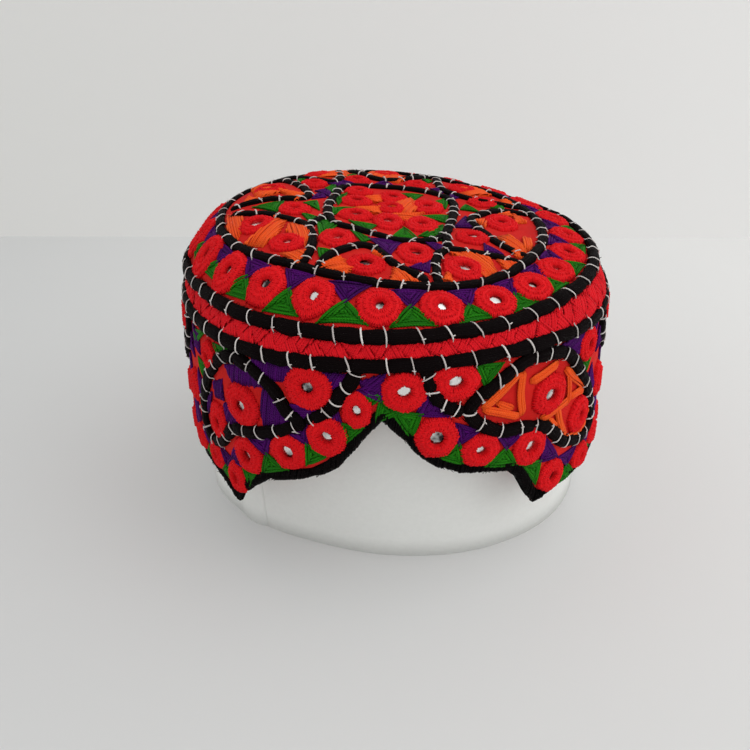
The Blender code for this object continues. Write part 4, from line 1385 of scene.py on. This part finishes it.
def make_crown_rosettes():
    """Rosettes inside the medallion."""
    nodes = [f"petal_rosette_{number}" for number in range(1, len(PETAL_ROSETTES) + 1)]
    rosette_piece("petal_rosettes", crown_face, PETAL_ROSETTES, CROWN_RING, nodes)
    rosette_piece("crown_rosettes", crown_face, OTHER_CROWN_ROSETTES, CROWN_RING)


def wall_row():
    """Rosettes of the row above the rim, in order from the back on the left to the back on the right."""
    left = [(-degrees, ROW_HEIGHT, *ROW_SIZE) for degrees in np.linspace(*ROW_LEFT)]
    right = [(degrees, ROW_HEIGHT, *ROW_SIZE) for degrees in np.linspace(*ROW_RIGHT)]
    return left + list(ARCH_ROW_LEFT[::-1]) + list(ARCH_ROW_RIGHT) + right


def wall_upper():
    """Rosettes above the row: the front as seen, and the repeat on the other sides."""
    rows = list(FRONT_UPPER)
    for mirror in (1, -1):
        for number in (1, 2):
            rows += [(mirror * (degrees + REPEAT * number), height, wide, high)
                     for degrees, height, wide, high in REPEATED_UPPER if number > 1 or degrees > FRONT_ENDS]
    return rows + list(BACK_UPPER)


def make_wall_rosettes():
    for name, rows in (("row_rosettes", wall_row()), ("upper_rosettes", wall_upper())):
        flat = [(degrees * DEGREE, *row) for degrees, *row in rows]
        rosette_piece(name, wall_face, flat, WALL_RING)


def wedge(first, second, side):
    """Triangle between two rosettes, its base on one side of the row."""
    start, end = (np.array((row[0] * DEGREE, row[1])) for row in (first, second))
    apart = np.linalg.norm(end - start)
    along = (end - start) / apart
    out = np.array((along[1], -along[0])) * side
    size = (first[2] + first[3] + second[2] + second[3]) / 4
    half = max(apart / 2 - WEDGE_ROOM * size, WEDGE_HALF)
    middle = (start + end) / 2
    base = middle + out * size * WEDGE_BASE
    return [base - along * half, base + along * half, middle - out * size * WEDGE_TIP]


def turned_chart(rows, turn, mirror):
    """Rows of a wall chart as flat corners, moved round the cap and mirrored."""
    return [(finish, value * mirror,
             [((turn + mirror * degrees) * DEGREE, height) for degrees, height in corners])
            for finish, value, *corners in rows]


def make_fills():
    """Green, purple and orange stitching on the crown and the wall."""
    border_greens, border_purples = make_border()
    row = wall_row()
    row_greens, row_purples = ([wedge(first, second, side) for first, second in zip(row, row[1:])]
                               for side in (1, -1))
    strokes = [("orange", *stroke) for stroke in LEAF_STROKES]
    fills = turned_chart(UPPER_FILLS + LEFT_LEAF_FILLS, 0, 1)
    bars = turned_chart(strokes, 0, 1)
    for mirror in (1, -1):
        for number in (1, 2):
            turn = mirror * REPEAT * number
            fills += turned_chart(REPEATED_FILLS, turn, mirror)
            if (number % 2 == 0) == (mirror == 1):
                bars += turned_chart(strokes, turn, mirror)
            else:
                fills += turned_chart(LEFT_LEAF_FILLS, turn, -mirror)
    fills += turned_chart(BACK_FILLS + MIDDLE_BACK_FILLS, 180, 1) + turned_chart(BACK_FILLS, 180, -1)

    def triangles(face, *charts):
        return [(face, "triangle", corners, None) for chart in charts for corners in chart]

    greens = [corners for finish, _, corners in fills if finish == "green"]
    purples = [(wall_face, "satin", corners, turn) for finish, turn, corners in fills if finish == "purple"]
    oranges = [(wall_face, "bar", corners, abs(width)) for finish, width, corners in bars]
    sewn_piece("wall_green_stitches", triangles(wall_face, greens, row_greens), GREEN)
    sewn_piece("wall_purple_stitches", purples + triangles(wall_face, row_purples), PURPLE)
    sewn_piece("wall_orange_stitches", oranges, ORANGE)
    sewn_piece("crown_green_stitches", triangles(crown_face, border_greens, CROWN_GREENS), GREEN)
    sewn_piece("crown_purple_stitches", triangles(crown_face, border_purples, CROWN_PURPLES), PURPLE)
    oranges = [(crown_face, "thick satin", corners, turn) for turn, *corners in CROWN_ORANGES]
    sewn_piece("crown_orange_stitches", oranges, ORANGE)


# ---- paper band, floor, light, camera ----
PAPER_START = -154
PAPER_TURN = 372
LAP = 14
LAP_RAMP = 5
LAP_LIFT = 0.35
LAP_END = 0.3
STAGE_REACH = 3
HORIZON_DEPTH = 0.3354
HORIZON_SLOPE = -0.1369
WALL_LEAN = 0.25
WALL_GAP = 0.003
WALL_FOOT = -0.01
WALL_HEIGHT = 2.4
ROOM_LIGHT = 0.7
# Name, place, aim, width in metres and power of each lamp.
LAMPS = (
    ("ceiling_light", (0.9, -0.3, 1.6), (0.1, 0.05, 0), 1.8, 6),
    ("right_light", (1.5, -0.7, 0.9), (0, 0.2, 0.1), 1.4, 5),
)
CAMERA_PLACE = (0, -0.3671, 0.2415)
CAMERA_PITCH, CAMERA_YAW, CAMERA_ROLL = 0.4804, -0.0198, -0.0488
CAMERA_LENS = 43.2


def make_paper_stand():
    """Oval band of white paper; its ends overlap at the left of the front."""
    degrees = np.linspace(PAPER_START, PAPER_START + PAPER_TURN, PAPER_TURN + 1)
    angle = np.radians(degrees)
    share = np.linspace(0, 1, 13)[:, None]
    floor_reach = around(PAPER_FLOOR_RADII, angle)
    top_reach = crown_radius(angle) * PAPER_TOP_SHARE
    over, normal = upright(crown_face, on_circle(top_reach, angle))
    top = over[:, 2] - CLOTH / normal[:, 2] - PAPER_TOP_CLEARANCE
    left = degrees[-1] - degrees
    lap = np.clip((degrees - degrees[-1] + LAP) / LAP_RAMP, 0, 1) * (PAPER + LAP_LIFT)
    lap = np.minimum(lap, LAP_END + LAP_LIFT * left)
    reach = floor_reach + (top_reach - floor_reach) * share + lap * (1 - share)
    places = np.stack([reach * np.cos(angle), reach * np.sin(angle), top * share + 0 * reach], axis=-1)
    paper = rolled("paper_stand_band", places, PAPER_WHITE, PAPER_FLAT)
    finish_piece(thicken(paper, PAPER), "white_paper", "paper_stand")


def make_stage():
    """Pale floor and the wall behind it."""
    sides = (-STAGE_REACH, STAGE_REACH)
    floor = [(x, y, 0) for x, y in ((-1, -1), (1, -1), (1, 1), (-1, 1))]
    floor = [(x * STAGE_REACH, y * STAGE_REACH, z) for x, y, z in floor]
    left, right = (HORIZON_DEPTH + HORIZON_SLOPE * side for side in sides)
    wall = [(sides[0], left + WALL_GAP, WALL_FOOT), (sides[1], right + WALL_GAP, WALL_FOOT),
            (sides[1], right + WALL_LEAN, WALL_HEIGHT), (sides[0], left + WALL_LEAN, WALL_HEIGHT)]
    # The deep tones are painted shade towards the front left, and the last numbers set a painted glow that
    # lightens the shadows on floor and wall.
    floor_paper = floor_finish("floor_paper", (222, 222, 221), (205, 206, 206), 0.13)
    wall_paper = see_through_behind(floor_finish("wall_paper", (230, 230, 229), (224, 224, 222), 0.12))
    for name, finish, corners in (("floor", floor_paper, floor), ("back_wall", wall_paper, wall)):
        mesh = bmesh.new()
        mesh.faces.new([mesh.verts.new(corner) for corner in corners])
        bmesh.ops.subdivide_edges(mesh, edges=mesh.edges, cuts=3, use_grid_fill=True)
        data = bpy.data.meshes.new(name)
        mesh.to_mesh(data)
        mesh.free()
        piece = link_piece(name, data, [finish])


def make_light():
    """Even light of the room and two wide lamps."""
    world = bpy.data.worlds.new("soft_room")
    bpy.context.scene.world = world
    world.use_nodes = True
    inputs = world.node_tree.nodes["Background"].inputs
    fill(world.node_tree, inputs, {"Color": (1, 1, 0.99, 1), "Strength": ROOM_LIGHT})
    for name, place, aim, size, power in LAMPS:
        lamp = bpy.data.lights.new(name, "AREA")
        lamp.shape = "DISK"
        lamp.size = size
        lamp.energy = power
        item = bpy.data.objects.new(name, lamp)
        item.location = place
        item.rotation_euler = (Vector(aim) - Vector(place)).to_track_quat("-Z", "Y").to_euler()
        bpy.context.scene.collection.objects.link(item)


def make_camera():
    """Camera as fitted to the outline in the photograph."""
    level = math.cos(CAMERA_PITCH)
    forward = Vector((math.sin(CAMERA_YAW) * level, math.cos(CAMERA_YAW) * level, -math.sin(CAMERA_PITCH)))
    right = forward.cross(Vector((0, 0, 1))).normalized()
    up = right.cross(forward)
    across = right * math.cos(CAMERA_ROLL) + up * math.sin(CAMERA_ROLL)
    upwards = up * math.cos(CAMERA_ROLL) - right * math.sin(CAMERA_ROLL)
    data = bpy.data.cameras.new("camera")
    data.sensor_width = 36
    data.lens = CAMERA_LENS
    camera = bpy.data.objects.new("camera", data)
    turned = Matrix((across, upwards, -forward)).transposed().to_4x4()
    camera.matrix_world = Matrix.Translation(CAMERA_PLACE) @ turned
    bpy.context.scene.collection.objects.link(camera)
    bpy.context.scene.camera = camera


make_camera()
make_light()
make_stage()
make_paper_stand()
make_cloth()
make_binding()
make_band_stitches()
make_cords()
make_fills()
make_crown_rosettes()
make_wall_rosettes()
bpy.context.scene.view_settings.view_transform = "Standard"
